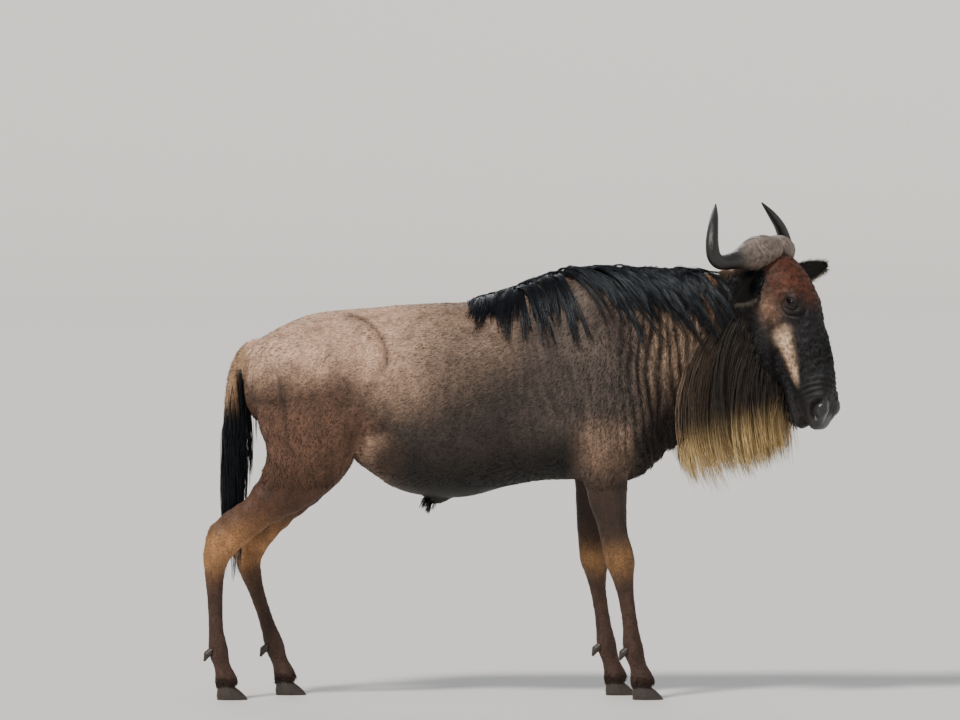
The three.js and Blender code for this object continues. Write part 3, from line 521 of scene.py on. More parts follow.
def coat_colour(points):
    """The coat's colour at millimetre points, the same for skin and hair, with painted shade and highlights
    in it.
    """
    x, _, z = points.T
    level = trunk_height(points)
    low = noise(points, 90)
    # darker from the back down to a near-black belly: partly the coat's own darker underside, partly painted
    # shade under the barrel
    colour = blend(np.tile(SHADED_BELLY, (len(points), 1)), FLANK, ramp(0.08, 0.34, level + 0.05 * low))
    colour = blend(colour, BACK, ramp(0.36, 0.95, level + 0.08 * low))
    # paler top of the rump: partly its own paler hair, partly a painted highlight where the light falls from
    # above
    colour = blend(colour, PALE_SUNLIT_RUMP, ramp(-60, -340, x) * ramp(0.3, 0.75, level + 0.1 * low))
    colour = blend(colour, THIGH, ramp(-250, -430, x + 0.3 * (z - 900) + 40 * low) * ramp(1040, 820, z))
    # painted shadow along the curved crease over the haunch, in the stripes' near-black colour
    arc, reach = haunch_fold(points)
    colour = blend(colour, STRIPE_AND_CREASE_SHADE, arc * np.exp(-((reach - 6) / 8) ** 2) * 0.7)
    # painted shade in the crease between the thigh's muscles
    colour = blend(colour, STRIPE_AND_CREASE_SHADE, thigh_line(points) * 0.55)
    # painted highlight: a pale band along the fold of skin from the flank to the stifle, where the fold
    # catches the light
    web = np.exp(-((x + 322 - 0.5 * (z - 770)) / 30) ** 2) * ramp(690, 740, z) * ramp(815, 775, z)
    colour = blend(colour, PALE_SUNLIT_RUMP, web * 0.75)
    colour = blend(colour, DOCK_HAIR, ramp(-690, -712, x) * ramp(840, 880, z))
    # neck and shoulder
    colour = blend(colour, SHOULDER_HAIR, ramp(40, 180, x) * ramp(0.1, 0.3, level) * 0.9)
    # painted highlight: the upper arm made paler where the light falls on it
    colour = blend(colour, UPPER_ARM_HIGHLIGHT, ramp(250, 340, x) * (1 - ramp(430, 490, x)) * ramp(880, 770, z) * 0.7)
    colour = blend(colour, NECK, ramp(430, 560, x) * ramp(0.2, 0.5, level))
    colour = blend(colour, BRISKET, ramp(420, 520, x) * ramp(0.3, 0.02, level))
    colour = blend(colour, STRIPE_AND_CREASE_SHADE, stripes(points) * 0.78)
    throat = ramp(620, 720, x) * ramp(1060, 900, z)
    colour = blend(colour, THROAT_HAIR, throat * 0.8)
    nape = ramp(640, 700, x) * (1 - ramp(815, 850, x)) * ramp(1130, 1190, z + 20 * low)
    colour = blend(colour, NAPE, nape * 0.9)
    # legs
    hind = ramp(-400, -450, x)
    colour = blend(colour, GASKIN, hind * ramp(800, 640, z + 25 * low))
    hock = hind * np.exp(-((z - 450) / 70) ** 2)
    colour = blend(colour, HOCK, hock * 0.72)
    colour = blend(colour, SHIN, hind * ramp(400, 300, z))
    fore = ramp(250, 290, x) * (1 - ramp(520, 560, x)) * ramp(770, 620, z)
    colour = blend(colour, FOREARM, fore)
    colour = blend(colour, KNEE, fore * np.exp(-((z - 415) / 52) ** 2) * 0.6)
    colour = blend(colour, SHIN, fore * ramp(360, 290, z))
    head = is_head(points)
    grain = 0.26 * noise(points * [1, 1, 0.45], 11) + 0.2 * noise(points * [1, 1, 0.5], 27)
    curl = (0.4 * noise(points, 8) + 0.3 * noise(points, 17)) * (1 - leather(points))
    return blend(colour, face_colour(points, low), head) * (1 + grain * (1 - head) + curl * head)[:, None]


def leather(points):
    """Bare nose leather round the nostrils and between them, from 0 to 1."""
    along, up, side = head_place(points)
    off = (along - NOSTRIL_FLAP[0]) ** 2 + (up - NOSTRIL_FLAP[1]) ** 2
    flap = np.exp(-off / 27 ** 2) * ramp(14, 28, np.abs(side))
    return np.clip(flap * 1.5 + ramp(508, 530, along) * ramp(-60, -40, up) * 0.6, 0, 1)


def hair_flow(points, normals):
    """Way that the short hair lies: back and down the body, down the legs and down the face."""
    x, _, z = points.T
    flow = np.tile([-1.0, 0, -0.35], (len(points), 1))
    legs = np.maximum(ramp(720, 600, z), ramp(-400, -480, x) * ramp(950, 780, z))
    flow = blend(flow, np.array([-0.08, 0, -1.0]), legs)
    flow = blend(flow, np.array([-0.15, 0, -1.0]), ramp(150, 400, x) * 0.9)
    flow = blend(flow, FACE, is_head(points))
    flow += 0.16 * np.stack([noise(points, 60), noise(points + 400, 60), noise(points - 400, 60)], axis=1)
    flow -= normals * np.sum(flow * normals, axis=1)[:, None]
    return unit(flow)


# Materials

MOIST_ROUGHNESS = 0.26
BROAD_PATCHES = 0.12  # scale of the broad patches, as a share of the fine grain's


def per_metre(size):
    """Scale of a noise whose grains are `size` millimetres across."""
    return 1000 / size


def add(tree, kind, settings=None, **inputs):
    """One shader node with its settings, and values or links for its inputs; _3 is its input number 3."""
    made = tree.nodes.new(kind)
    for key, value in (settings or {}).items():
        setattr(made, key, value)
    for key, value in inputs.items():
        socket = made.inputs[int(key[1:])] if key[0] == "_" else made.inputs[key.replace("_", " ")]
        if isinstance(value, bpy.types.NodeSocket):
            tree.links.new(value, socket)
        else:
            socket.default_value = value
    return made


def start_material(name, **values):
    """An opaque material, with constant values for its surface's own sockets."""
    material = bpy.data.materials.new(name)
    material.use_nodes = True
    tree = material.node_tree
    tree.nodes.clear()
    surface = add(tree, "ShaderNodeBsdfPrincipled", **values)
    output = add(tree, "ShaderNodeOutputMaterial")
    tree.links.new(surface.outputs[0], output.inputs[0])
    return material, tree, surface


def mottle(tree, surface, fine, fine_range, broad, broad_range):
    """Gives the surface the piece's own colour, lighter and darker with two noises."""
    shade = add(tree, "ShaderNodeAttribute", {"attribute_name": "coat"})
    light, wide = (add(tree, "ShaderNodeMapRange", Value=grain.outputs[0], _1=0.3, _2=0.7, _3=low, _4=high)
                   for grain, (low, high) in ((fine, fine_range), (broad, broad_range)))
    both = add(tree, "ShaderNodeMath", {"operation": "MULTIPLY"}, _0=light.outputs[0], _1=wide.outputs[0])
    tone = add(tree, "ShaderNodeVectorMath", {"operation": "SCALE"}, _0=shade.outputs["Color"],
               Scale=both.outputs[0])
    tree.links.new(tone.outputs[0], surface.inputs["Base Color"])
    return shade


def hair_material(name, clump, roughness, bump, speckle, shine=(1, 1, 1), sheen=0.0, sheen_tint=(1, 1, 1)):
    """Hair in clumps `clump` millimetres wide, and moist skin where the piece's colour has a low alpha."""
    material, tree, surface = start_material(
        name, Sheen_Weight=sheen, Sheen_Roughness=0.45, Sheen_Tint=(*sheen_tint, 1),
        Specular_Tint=(*shine, 1), Specular_IOR_Level=0.36)
    place = add(tree, "ShaderNodeTexCoord").outputs["Object"]
    fine = add(tree, "ShaderNodeTexNoise", Vector=place, Scale=per_metre(clump), Detail=4.0)
    broad = add(tree, "ShaderNodeTexNoise", Vector=place, Scale=per_metre(clump) * BROAD_PATCHES, Detail=3.0)
    shade = mottle(tree, surface, fine, (1 - speckle, 1 + speckle), broad, (0.88, 1.12))
    ripple = add(tree, "ShaderNodeBump", Height=fine.outputs[0], Strength=bump, Distance=0.0016)
    tree.links.new(ripple.outputs[0], surface.inputs["Normal"])
    gloss = add(tree, "ShaderNodeMapRange", Value=shade.outputs["Alpha"],
                _1=0.2, _2=1.0, _3=MOIST_ROUGHNESS, _4=roughness)
    tree.links.new(gloss.outputs[0], surface.inputs["Roughness"])
    return material


# A hair is 0.08 mm thick, too fine to show, so each pattern is drawn as wide as a clump of hairs.
# Short summer coat: sleek hair that lies flat, half matt, with clumps of 3.85 mm
coat_hair = hair_material("short_coat", clump=3.85, roughness=0.6, bump=0.5, speckle=0.35,
                          shine=(1, 0.97, 0.94), sheen=0.04, sheen_tint=(0.75, 0.68, 0.62))
# Skin under the coat: its 4.76 mm streaks stand for the hair that lies closest, and look a little duller
skin_hair = hair_material("skin_coat", clump=4.76, roughness=0.64, bump=0.8, speckle=0.4,
                          shine=(1, 0.97, 0.94), sheen=0.04, sheen_tint=(0.75, 0.68, 0.62))
# Mane and tail: long, coarse black hair in 2 mm strands, glossy, with a cold blue shine in daylight
black_hair = hair_material("black_long_hair", clump=2.0, roughness=0.31, bump=0.3, speckle=0.35,
                           shine=(0.8, 0.9, 1))
# Beard: fine hair bleached by the sun, in 2 mm strands, dry and pale at the tips
beard_hair = hair_material("beard_hair", clump=2.0, roughness=0.5, bump=0.3, speckle=0.25,
                           shine=(1, 0.95, 0.85), sheen=0.05, sheen_tint=(1, 0.95, 0.85))


# The skin: all forms of flesh as one surface

def flesh_bodies(inset):
    """Closed bodies of all the flesh, `inset` millimetres inside the solids."""
    bodies = [egg_rings(TRUNK, WORLD_AXES, 48, 4, inset), limb_rings(SHEATH, 16, 4, inset),
              egg_rings(SKULL, HEAD_AXES, 48, 4, inset), egg_rings(LOWER_JAW, HEAD_AXES, 28, 4, inset),
              head_tube(THROAT, 1, 28, inset), limb_rings(TAIL[:5], 20, 3, inset)]
    for name, side in SIDES:
        mirror = np.array([1, side, 1, 1, 1])
        bodies += [limb_rings(np.array(SHOULDER) * mirror, 28, 3, inset),
                   limb_rings(np.array(HAUNCH) * mirror, 28, 3, inset)]
        bodies += [head_tube(form, side, 20, inset) for form in (BROW, CHEEK, NOSTRIL_SWELL)]
        for place in ("fore", "hind"):
            bodies.append(limb_rings(LEGS[place, name], 28, 4, inset))
        x, y, z = LEGS["hind", name][6][:3]
        heel = [[x + 2, y, z - 66, 26, 20], [x - 26, y, z - 8, 20, 16], [x - 33, y, z + 30, 15, 13],
                [x - 6, y, z + 74, 13, 11], [x + 60, y, z + 128, 10, 9]]
        bodies.append(limb_rings(heel, 16, 3, inset))
    return [ring_body(rings) for rings in bodies]


RIB_GAP = 62


def bell(value, middle, width):
    """1 at the middle, falling off smoothly to both sides."""
    return np.exp(-((value - middle) / width) ** 2)


def body_relief(points):
    """Muscles, folds, ribs and tendons: how far each point of the body moves out, in millimetres."""
    x, _, z = points.T
    body = 1 - is_head(points)
    push = (0.8 * noise(points, 38) + 1.2 * noise(points, 110)) * body
    push += (2.0 + 3.5 * ramp(380, 520, x)) * (0.5 - stripes(points)) * ramp(0, 200, x) * body
    # curved crease over the haunch
    arc, reach = haunch_fold(points)
    push += arc * (8 * bell(reach, -17, 17) - 9 * bell(reach, 5, 8))
    # ribs, faintly
    ribs = np.sin((x + 0.5 * (z - 900)) * 2 * math.pi / RIB_GAP)
    chest = ramp(-260, -180, x) * (1 - ramp(120, 200, x)) * ramp(660, 760, z) * ramp(1120, 1020, z)
    push += ribs * chest * 0.9
    # hollow behind the shoulder and elbow, and the fold of skin from the flank to the stifle
    push -= 6 * bell(x - 0.18 * (z - 760), 296, 20) * ramp(650, 700, z) * ramp(1000, 860, z)
    push += 5 * bell(x - 0.1 * (z - 760), 350, 42) * ramp(640, 700, z) * ramp(980, 860, z)
    web = np.abs(x + 330 - 0.34 * (z - 760)) / 20
    push += (6 * bell(web, 0, 1) - 5 * bell(web, 2.2, 1)) * ramp(680, 740, z) * ramp(1000, 900, z)
    # line between the thigh's muscles
    push -= 6 * thigh_line(points)
    # tendons and the vein on the gaskin and forearm
    cord = np.sin((x * 0.8 + z * 0.6) * 2 * math.pi / 58)
    push += cord * ramp(-420, -520, x) * ramp(420, 520, z) * ramp(800, 700, z) * 1.6
    vein = np.sin(x * 2 * math.pi / 40)
    return push + vein * ramp(300, 320, x) * ramp(440, 520, z) * ramp(700, 620, z) * 1.2


def face_relief(points):
    """Eye, nostrils, mouth, wrinkles and curls: how far each point of the head moves out."""
    along, up, side = head_place(points)
    head = is_head(points)
    lateral = np.abs(side)
    # eye: an almond opening with a raised rim, and a fold behind and below it
    a, u = along - EYE_AT[0], up - EYE_AT[1]
    c, s = math.cos(EYE_SLANT), math.sin(EYE_SLANT)
    a, u = a * c + u * s, u * c - a * s
    almond = np.hypot(a / 21, u / 13)
    on_side = ramp(34, 48, lateral) * head
    push = on_side * (-15 * ramp(1.0, 0.6, almond) + 1.8 * bell(almond, 1.35, 0.3))
    fold = np.hypot(a / 1.1, u) - 37
    push += on_side * ramp(12, -8, u) * (3.0 * bell(fold, -7, 5) - 5.5 * bell(fold, 0, 4))
    # nostril: a thick round flap with a deep curved slot above and behind it
    a, u = along - NOSTRIL_FLAP[0], up - NOSTRIL_FLAP[1]
    away = np.hypot(a, u)
    behind = (-0.67 * a - 0.74 * u) / np.maximum(away, 1)
    push += ramp(16, 28, lateral) * ramp(440, 460, along) * (
        7 * bell(away, 0, 21) - 18 * bell(away, 32, 8) * ramp(0.0, 0.6, behind)
        + 3 * bell(away, 47, 6) * ramp(0.1, 0.6, behind))
    # line of the mouth, from the front to the corner, and the lips
    off = up + 73 - 5 * ramp(470, 540, along)
    mouth = ramp(424, 446, along) * ramp(-130, -100, up)
    push += mouth * (1.6 * bell(np.abs(off), 9, 5) - 6 * bell(off, 0, 3.6))
    # rough nasal ridge and wrinkles over the muzzle
    wrinkles = np.sin((along + 0.5 * lateral) * 2 * math.pi / 17) * (1 - ramp(480, 500, along))
    push += 1.3 * wrinkles * ramp(380, 430, along) * ramp(-60, -20, up) * head
    # curls of the short hair
    curly = head * (1 - leather(points)) * (0.45 + 0.55 * ramp(-10, 20, up))
    return push + curly * (1.7 * noise(points, 9) + 1.7 * noise(points, 15) + 1.2 * noise(points, 30))


SKIN_VOXEL = 0.0079  # metres: the skin stays under 200,000 triangles
SKIN_ROUNDS = 26
LEG_TOP = 620


def make_skin():
    skin = new_piece("skin", *joined(flesh_bodies(COAT_DEPTH)), skin_hair)
    remesh_piece(skin, SKIN_VOXEL)
    mesh = skin.data
    points = millimetres(points_of(mesh))
    share = np.where(points[:, 2] < LEG_TOP, 0.6, 1 - 0.55 * is_head(points))
    relax(mesh, SKIN_ROUNDS, share)
    # finer faces on the head
    work = bmesh.new()
    work.from_mesh(mesh)
    centres = millimetres(np.array([face.calc_center_median() for face in work.faces]))
    along, up, _ = head_place(centres)
    chosen = (along > 100) & (along < 580) & (up > -150)
    work.faces.ensure_lookup_table()
    edges = {edge for i in np.flatnonzero(chosen) for edge in work.faces[i].edges}
    bmesh.ops.subdivide_edges(work, edges=list(edges), cuts=1, use_grid_fill=True)
    work.to_mesh(mesh)
    work.free()
    relax(mesh, 4, is_head(millimetres(points_of(mesh))))
    points = millimetres(points_of(mesh))
    push = body_relief(points) + face_relief(points)
    put_points(mesh, metres(points + normals_of(mesh) * push[:, None]))
    mesh.shade_smooth()
    return skin


skin = make_skin()


def unwrap(piece):
    """The bake's map: an unwrap of the piece's own shape."""
    bpy.context.view_layer.objects.active = piece
    piece.select_set(True)
    piece.data.uv_layers.new(name=BAKE_MAP)
    bpy.ops.object.mode_set(mode="EDIT")
    bpy.ops.mesh.select_all(action="SELECT")
    bpy.ops.uv.smart_project(angle_limit=math.radians(70), island_margin=0.002)
    bpy.ops.object.mode_set(mode="OBJECT")
    piece.select_set(False)


unwrap(skin)


def put_colours(mesh, colours, bare=None):
    """Colour for each point, and how bare and moist the skin is there."""
    layer = mesh.attributes.new("coat", "FLOAT_COLOR", "POINT")
    wet = np.zeros(len(colours)) if bare is None else bare
    flat = np.concatenate([colours, 1 - wet[:, None]], axis=1).astype(np.float32)
    layer.data.foreach_set("color", np.clip(flat, 0, 1).ravel())


skin_points = millimetres(points_of(skin.data))
skin_normals = normals_of(skin.data)
put_colours(skin.data, coat_colour(skin_points), leather(skin_points) * is_head(skin_points))

# The skin's triangles, for hair to grow on
skin.data.calc_loop_triangles()
tri_corners = read_rows(skin.data.loop_triangles, "vertices", 3, np.int32)
tri_loops = read_rows(skin.data.loop_triangles, "loops", 3, np.int32)
loop_uv = read_rows(skin.data.uv_layers[BAKE_MAP].data, "uv", 2)
skin_tree = BVHTree.FromPolygons(metres(skin_points).tolist(), tri_corners.tolist())


def roots_on_skin(count, density):
    """Random roots on the skin: points, normals and places on the bake's map."""
    a, b, c = (skin_points[tri_corners[:, k]] for k in range(3))
    weight = np.linalg.norm(np.cross(b - a, c - a), axis=1) * density((a + b + c) / 3)
    pick = rng.choice(len(tri_corners), count, p=weight / weight.sum())
    u, v = rng.random((2, count))
    over = u + v > 1
    u, v = np.where(over, 1 - u, u), np.where(over, 1 - v, v)
    share = np.stack([1 - u - v, u, v], axis=1)[:, :, None]
    points = (skin_points[tri_corners[pick]] * share).sum(axis=1)
    normals = unit((skin_normals[tri_corners[pick]] * share).sum(axis=1))
    uv = (loop_uv[tri_loops[pick]] * share).sum(axis=1)
    return points, normals, uv


def under(point):
    """The skin nearest to a millimetre point: the place, the way it faces and its triangle."""
    spot, normal, triangle, _ = skin_tree.find_nearest(Vector(metres(point)))
    return millimetres(np.array(spot)), np.array(normal), triangle


def nearest_uv(point):
    """Place on the bake's map of the skin under a millimetre point."""
    return loop_uv[tri_loops[under(point)[2]]].mean(axis=0)


PATCH = 0.0013  # half the width of a strand's patch on the bake's map
RIDGE, BASE = 0.65, 0.35  # a strand's three-sided section, above and below its middle


def strand_piece(name, paths, sides, ups, widths, thick, root_colours, tip_colours, uv, material, slot,
                 pale=None):
    """Tapered solid strands: paths are (strands, rings + 1, 3), ending at the tips."""
    count, rings = paths.shape[0], paths.shape[1] - 1
    body = paths[:, :-1]
    out, low = sides * widths[:, :, None] / 2, ups * thick[:, :, None]
    ring = np.stack([body + out - low * BASE, body + low * RIDGE, body - out - low * BASE], axis=2)
    corners = np.concatenate([ring.reshape(count, rings * 3, 3), paths[:, -1:]], axis=1)
    per = rings * 3 + 1
    quads = [(r * 3 + k, r * 3 + (k + 1) % 3) for r in range(rings - 1) for k in range(3)]
    pattern = [(a, b, b + 3) for a, b in quads] + [(a, b + 3, a + 3) for a, b in quads]
    last = (rings - 1) * 3
    pattern += [(last + k, last + (k + 1) % 3, per - 1) for k in range(3)] + [(2, 1, 0)]
    pattern = np.array(pattern)[:, ::-1]
    faces = (pattern[None] + (np.arange(count) * per)[:, None, None]).reshape(-1, 3)
    mesh = bpy.data.meshes.new(name)
    mesh.vertices.add(count * per)
    mesh.vertices.foreach_set("co", metres(corners.reshape(-1, 3)).astype(np.float32).ravel())
    mesh.loops.add(faces.size)
    mesh.loops.foreach_set("vertex_index", faces.astype(np.int32).ravel())
    mesh.polygons.add(len(faces))
    mesh.polygons.foreach_set("loop_start", np.arange(0, faces.size, 3, dtype=np.int32))
    mesh.update(calc_edges=True)
    mesh.shade_smooth()
    share = np.concatenate([np.repeat(np.linspace(0, 0.92, rings), 3), [1.0]])[None, :, None]
    if pale:
        share = pale(corners.reshape(-1, 3)).reshape(count, per, 1)
    colours = root_colours[:, None] * (1 - share) + tip_colours[:, None] * share
    put_colours(mesh, colours.reshape(-1, 3))
    offset = np.stack([np.linspace(-1, 1, per), np.tile([-1, 0, 1], rings + 1)[:per]], axis=1) * PATCH
    corner_uv = (uv[:, None] + offset[None]).reshape(-1, 2)
    layer = mesh.uv_layers.new(name=BAKE_MAP)
    layer.data.foreach_set("uv", corner_uv[faces.ravel()].astype(np.float32).ravel())
    mesh.materials.append(material)
    piece = linked(name, mesh)
    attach(piece, "root")


def in_chunks(name, limit, arrays, material, slot, pale=None):
    """Strand pieces of at most `limit` strands each."""
    count = len(arrays[0])
    for part, start in enumerate(range(0, count, limit)):
        strand_piece(f"{name}_{part + 1}", *(a[start:start + limit] for a in arrays), material, slot, pale)


# Short coat: tufts that lie along the body, thickest where the coat breaks the outline

def tuft_length(points):
    x, _, z = points.T
    length = 15 + 7 * ramp(300, 600, x) + 9 * ramp(620, 720, x) * ramp(1060, 900, z)
    length = np.where(z < 640, 9, length)
    length = length + 9 * ramp(84, 56, z)
    along, up, _ = head_place(points)
    face = is_head(points)
    on_face = 9 + 12 * ramp(-70, -140, up) + 5 * ramp(250, 330, along) * ramp(400, 350, along)
    length = length * (1 - face) + face * on_face
    return length * (1 - 0.6 * face * ramp(430, 470, along))


def tuft_density(points):
    x, _, z = points.T
    along, up, side = head_place(points)
    face = is_head(points)
    density = 1 + 0.5 * ramp(300, 600, x) + 1.2 * ramp(620, 500, z) + 2.6 * face + 4 * ramp(84, 60, z)
    eye = np.hypot((along - EYE_AT[0]) / 30, (up - EYE_AT[1]) / 20)
    density *= 1 - face * ramp(1.15, 0.9, eye) * ramp(30, 45, np.abs(side))
    return density * (1 - 0.97 * face * leather(points)) * (1 - face * ramp(500, 515, along)) + 1e-6


COAT_TUFTS = 150000
TUFTS_A_PIECE = 45000
TUFT_WIDTH = 2.3
ROOT_DEPTH = 1.2


def make_coat():
    points, normals, uv = roots_on_skin(COAT_TUFTS, tuft_density)
    flow = hair_flow(points, normals)
    count = len(points)
    length = tuft_length(points) * (1 + 0.3 * (rng.random(count) - 0.5))
    lift = 0.13 + 0.2 * rng.random(count)
    sway = (rng.random(count) - 0.5) * 0.5
    across = np.cross(normals, flow)
    way = unit(flow + across * sway[:, None])
    start = points - normals * ROOT_DEPTH
    tip = start + unit(way + normals * lift[:, None]) * length[:, None]
    paths = np.stack([start, tip], axis=1)
    sides = unit(np.cross(way, normals))[:, None]
    small = np.clip(length / 14, 0.5, 1.2)[:, None] * TUFT_WIDTH
    colours = coat_colour(points)
    tone = (0.62 + 0.75 * rng.random(count))[:, None]
    colours = colours * tone
    tufts = (paths, sides, normals[:, None], small, small * 0.45, colours * 0.8, colours * 1.2, uv)
    in_chunks("coat", TUFTS_A_PIECE, tufts, coat_hair, "coat")


make_coat()


# Long hair: locks are guide lines laid over the skin, and each is filled with strands

FREE_HAIR = 60  # from the skin: beyond it a lock hangs by itself


def lay_guide(root, start, pull, length, bend, steps, clear):
    """A line that leaves the root along `start`, bends towards `pull` and lies on what it meets."""
    point, normal, _ = under(root)
    point = point + normal
    line, ups = [point - normal * 4], [normal]
    way = unit(np.array(start, float))
    for _ in range(steps):
        way = unit(way * (1 - bend) + pull * bend)
        point = point + way * length / steps
        spot, normal, _ = under(point)
        depth = np.dot(point - spot, normal)
        if depth < clear:
            point = spot + normal * clear
        line.append(point)
        ups.append(normal if depth < FREE_HAIR else unit(ups[-1] + 0.2 * normal))
    return np.array(line), np.array(ups)


def fill_locks(name, guides, strands, material, slot, per_piece, width, depth, hair_width, taper,
               pale=None, tones=(0.7, 1.35)):
    """Strands along each guide line; they start spread over the lock's width and draw together at the tip."""
    paths, side_list, up_list, uvs, roots, tips = [], [], [], [], [], []
    for (line, ups), (root_colour, tip_colour), size in guides:
        rings = len(line)
        ways = unit(np.gradient(line, axis=0))
        sides = unit(np.cross(ways, ups))
        ups = unit(np.cross(sides, ways))
        t = np.linspace(0, 1, rings)
        spread = 1 - taper * t ** 1.4
        across = rng.uniform(-0.5, 0.5, strands)
        high = rng.uniform(0, 1, strands)
        end = rng.uniform(0.72, 1.0, strands)
        wave = rng.uniform(-1, 1, (strands, 2))
        for k in range(strands):
            place = np.interp(t * end[k], t, np.arange(rings))
            low = np.clip(np.floor(place).astype(int), 0, rings - 2)
            part = (place - low)[:, None]
            centre = line[low] * (1 - part) + line[low + 1] * part
            side_k = sides[low] * (1 - part) + sides[low + 1] * part
            up_k = ups[low] * (1 - part) + ups[low + 1] * part
            bow = np.sin(math.pi * t) * wave[k, 0] * width * 0.16 + t ** 2 * wave[k, 1] * width * 0.3
            path = centre + side_k * ((across[k] * width * size * spread + bow)[:, None]) \
                + up_k * (high[k] * depth * np.minimum(1, 4 * t + 0.1) * (1 - 0.4 * t))[:, None]
            paths.append(path)
            side_list.append(side_k[:-1])
            up_list.append(up_k[:-1])
            uvs.append(nearest_uv(path[0]))
            tone = rng.uniform(*tones)
            roots.append(root_colour * tone)
            tips.append(tip_colour * tone)
    paths = np.array(paths)
    count, rings = len(paths), paths.shape[1] - 1
    shape = np.linspace(1, 0.45, rings)[None] * np.ones((count, 1))
    widths = hair_width * shape * rng.uniform(0.7, 1.3, (count, 1))
    hairs = (paths, np.array(side_list), np.array(up_list), widths, widths * 0.55,
             np.array(roots), np.array(tips), np.array(uvs))
    in_chunks(name, per_piece, hairs, material, slot, pale)


def crest(x):
    """Middle and height of the back's ridge."""
    return [np.interp(x, TRUNK_TABLE[:, 0], TRUNK_TABLE[:, k]) for k in (1, 3)]


# Mane: [from, to, side, locks, length, start, pull]
MANE = [
    [-30, 120, -1, 34, 262, (0.05, -0.75, 0.1), (-0.02, -0.25, -0.95)],
    [100, 225, -1, 20, 330, (0.3, -0.7, 0.3), (0.14, -0.3, -0.93)],
    [220, 430, -1, 26, 300, (0.65, -0.6, 0.35), (0.4, -0.3, -0.84)],
    [390, 540, -1, 22, 270, (0.85, -0.6, 0.2), (0.56, -0.3, -0.75)],
    [530, 640, -1, 12, 210, (0.5, -0.8, 0.0), (0.25, -0.3, -0.9)],
    [260, 540, -1, 22, 410, (0.85, -0.7, 0.2), (0.46, -0.3, -0.83)],
    [540, 650, -1, 7, 330, (0.8, -0.6, 0.1), (0.38, -0.3, -0.85)],
    [-20, 630, -1, 46, 100, (0.7, -0.2, 0.75), (0.8, -0.25, -0.35)],
    [0, 690, 1, 84, 225, (0.25, 0.8, 0.2), (0.2, 0.3, -0.92)],
]
LONG_LOCK = 300  # from this length on, locks of the mane are thin
MANE_STRANDS = 18


def make_mane():
    guides = []
    for start_x, end_x, side, locks, length, start, pull in MANE:
        for k in range(locks):
            x = start_x + (end_x - start_x) * (k + rng.random()) / locks
            middle, top = crest(x)
            root = np.array([x, middle + side * rng.uniform(-14, 26), top + 6])
            aim = unit(np.array(pull) + rng.normal(0, 0.10, 3) * [1, 0.3, 0.3])
            first = np.array(start) + rng.normal(0, 0.14, 3)
            size = length * rng.uniform(0.55, 1.08) * (0.7 if x < 40 else 1)
            line = lay_guide(root, first, aim, size, 0.26, 11, rng.uniform(2.5, 9))
            broad = rng.uniform(0.35, 1.1) if length < LONG_LOCK else 0.35
            guides.append((line, (MANE_HAIR, MANE_HAIR * 1.5), broad))
    fill_locks("mane", guides, MANE_STRANDS, black_hair, "coat", 2800, width=30, depth=7, hair_width=2.4,
               taper=0.7)


make_mane()

# Beard: hair of the throat and the jaw, brown at the root and pale gold at the tip
BEARD_LOCKS = 450
BEARD_STRANDS = 16
# Lower outline of the beard: along the body, and height
BEARD_EDGE = np.array([[590, 790], [606, 725], [640, 676], [705, 650], [780, 668], [840, 698], [885, 720],
                       [930, 730], [960, 790]], float)


def beard_area(points):
    """Where the beard grows: the throat's lower side and the jaw's."""
    x, _, z = points.T
    bottom = np.interp(x, TRUNK_TABLE[:, 0], TRUNK_TABLE[:, 4])
    along, up, _ = head_place(points)
    throat = ramp(600, 650, x) * (1 - ramp(855, 900, x)) * ramp(bottom + 95, bottom + 10, z)
    jaw = ramp(110, 200, along) * (1 - ramp(400, 440, along)) * ramp(-104, -132, up) * is_head(points)
    return np.maximum(throat, jaw * 1.5) + 1e-9


def beard_pale(points):
    """How far the beard's hair is bleached: brown by the throat, pale gold below."""
    line = 795 + (points[:, 0] - 630) * 0.33
    return ramp(line + 45, line - 85, points[:, 2])


def make_beard():
    points, normals, _ = roots_on_skin(BEARD_LOCKS, beard_area)
    guides = []
    for point, normal, ground in zip(points, normals, coat_colour(points)):
        front = np.clip((point[0] - 640) / 280, 0, 1)
        low = np.interp(point[0] + 30 * (1 - front), BEARD_EDGE[:, 0], BEARD_EDGE[:, 1])
        drop = point[2] - low
        if drop > 170 and rng.random() < 0.45:
            length = rng.uniform(70, 140)
        else:
            length = max(60, drop * (1.1 + 0.12 * (1 - front))) * rng.uniform(0.72, 1.04)
        pull = unit(np.array([1.25 * (1 - front) + 0.04, 0, -0.8]) + rng.normal(0, 0.06, 3))
        first = np.array([-1.15 * (1 - front) - 0.06, 0, -0.9]) + normal * 0.25
        line = lay_guide(point, first, pull, length, 0.14, 9, rng.uniform(3, 9))
        pale = rng.uniform(0.25, 1.0)
        tip = BEARD_ROOT * (1 - pale) + BEARD_TIP * pale
        root = BEARD_ROOT + (ground * 1.25 - BEARD_ROOT) * rng.uniform(0.3, 1)
        guides.append((line, (root * rng.uniform(0.5, 1.2), tip), rng.uniform(0.8, 1.3)))
    fill_locks("beard", guides, BEARD_STRANDS, beard_hair, "face", 3200, width=34, depth=10, hair_width=1.9,
               taper=0.4, pale=beard_pale, tones=(0.3, 1.5))


make_beard()

# Switch of the tail
SWITCH_LOCKS = 60
SWITCH_STRANDS = 18


def tail_dark(points):
    """The tail's hair is tan along the dock's back and black below and in front."""
    return np.maximum(ramp(940, 830, points[:, 2]), ramp(-738, -718, points[:, 0]))


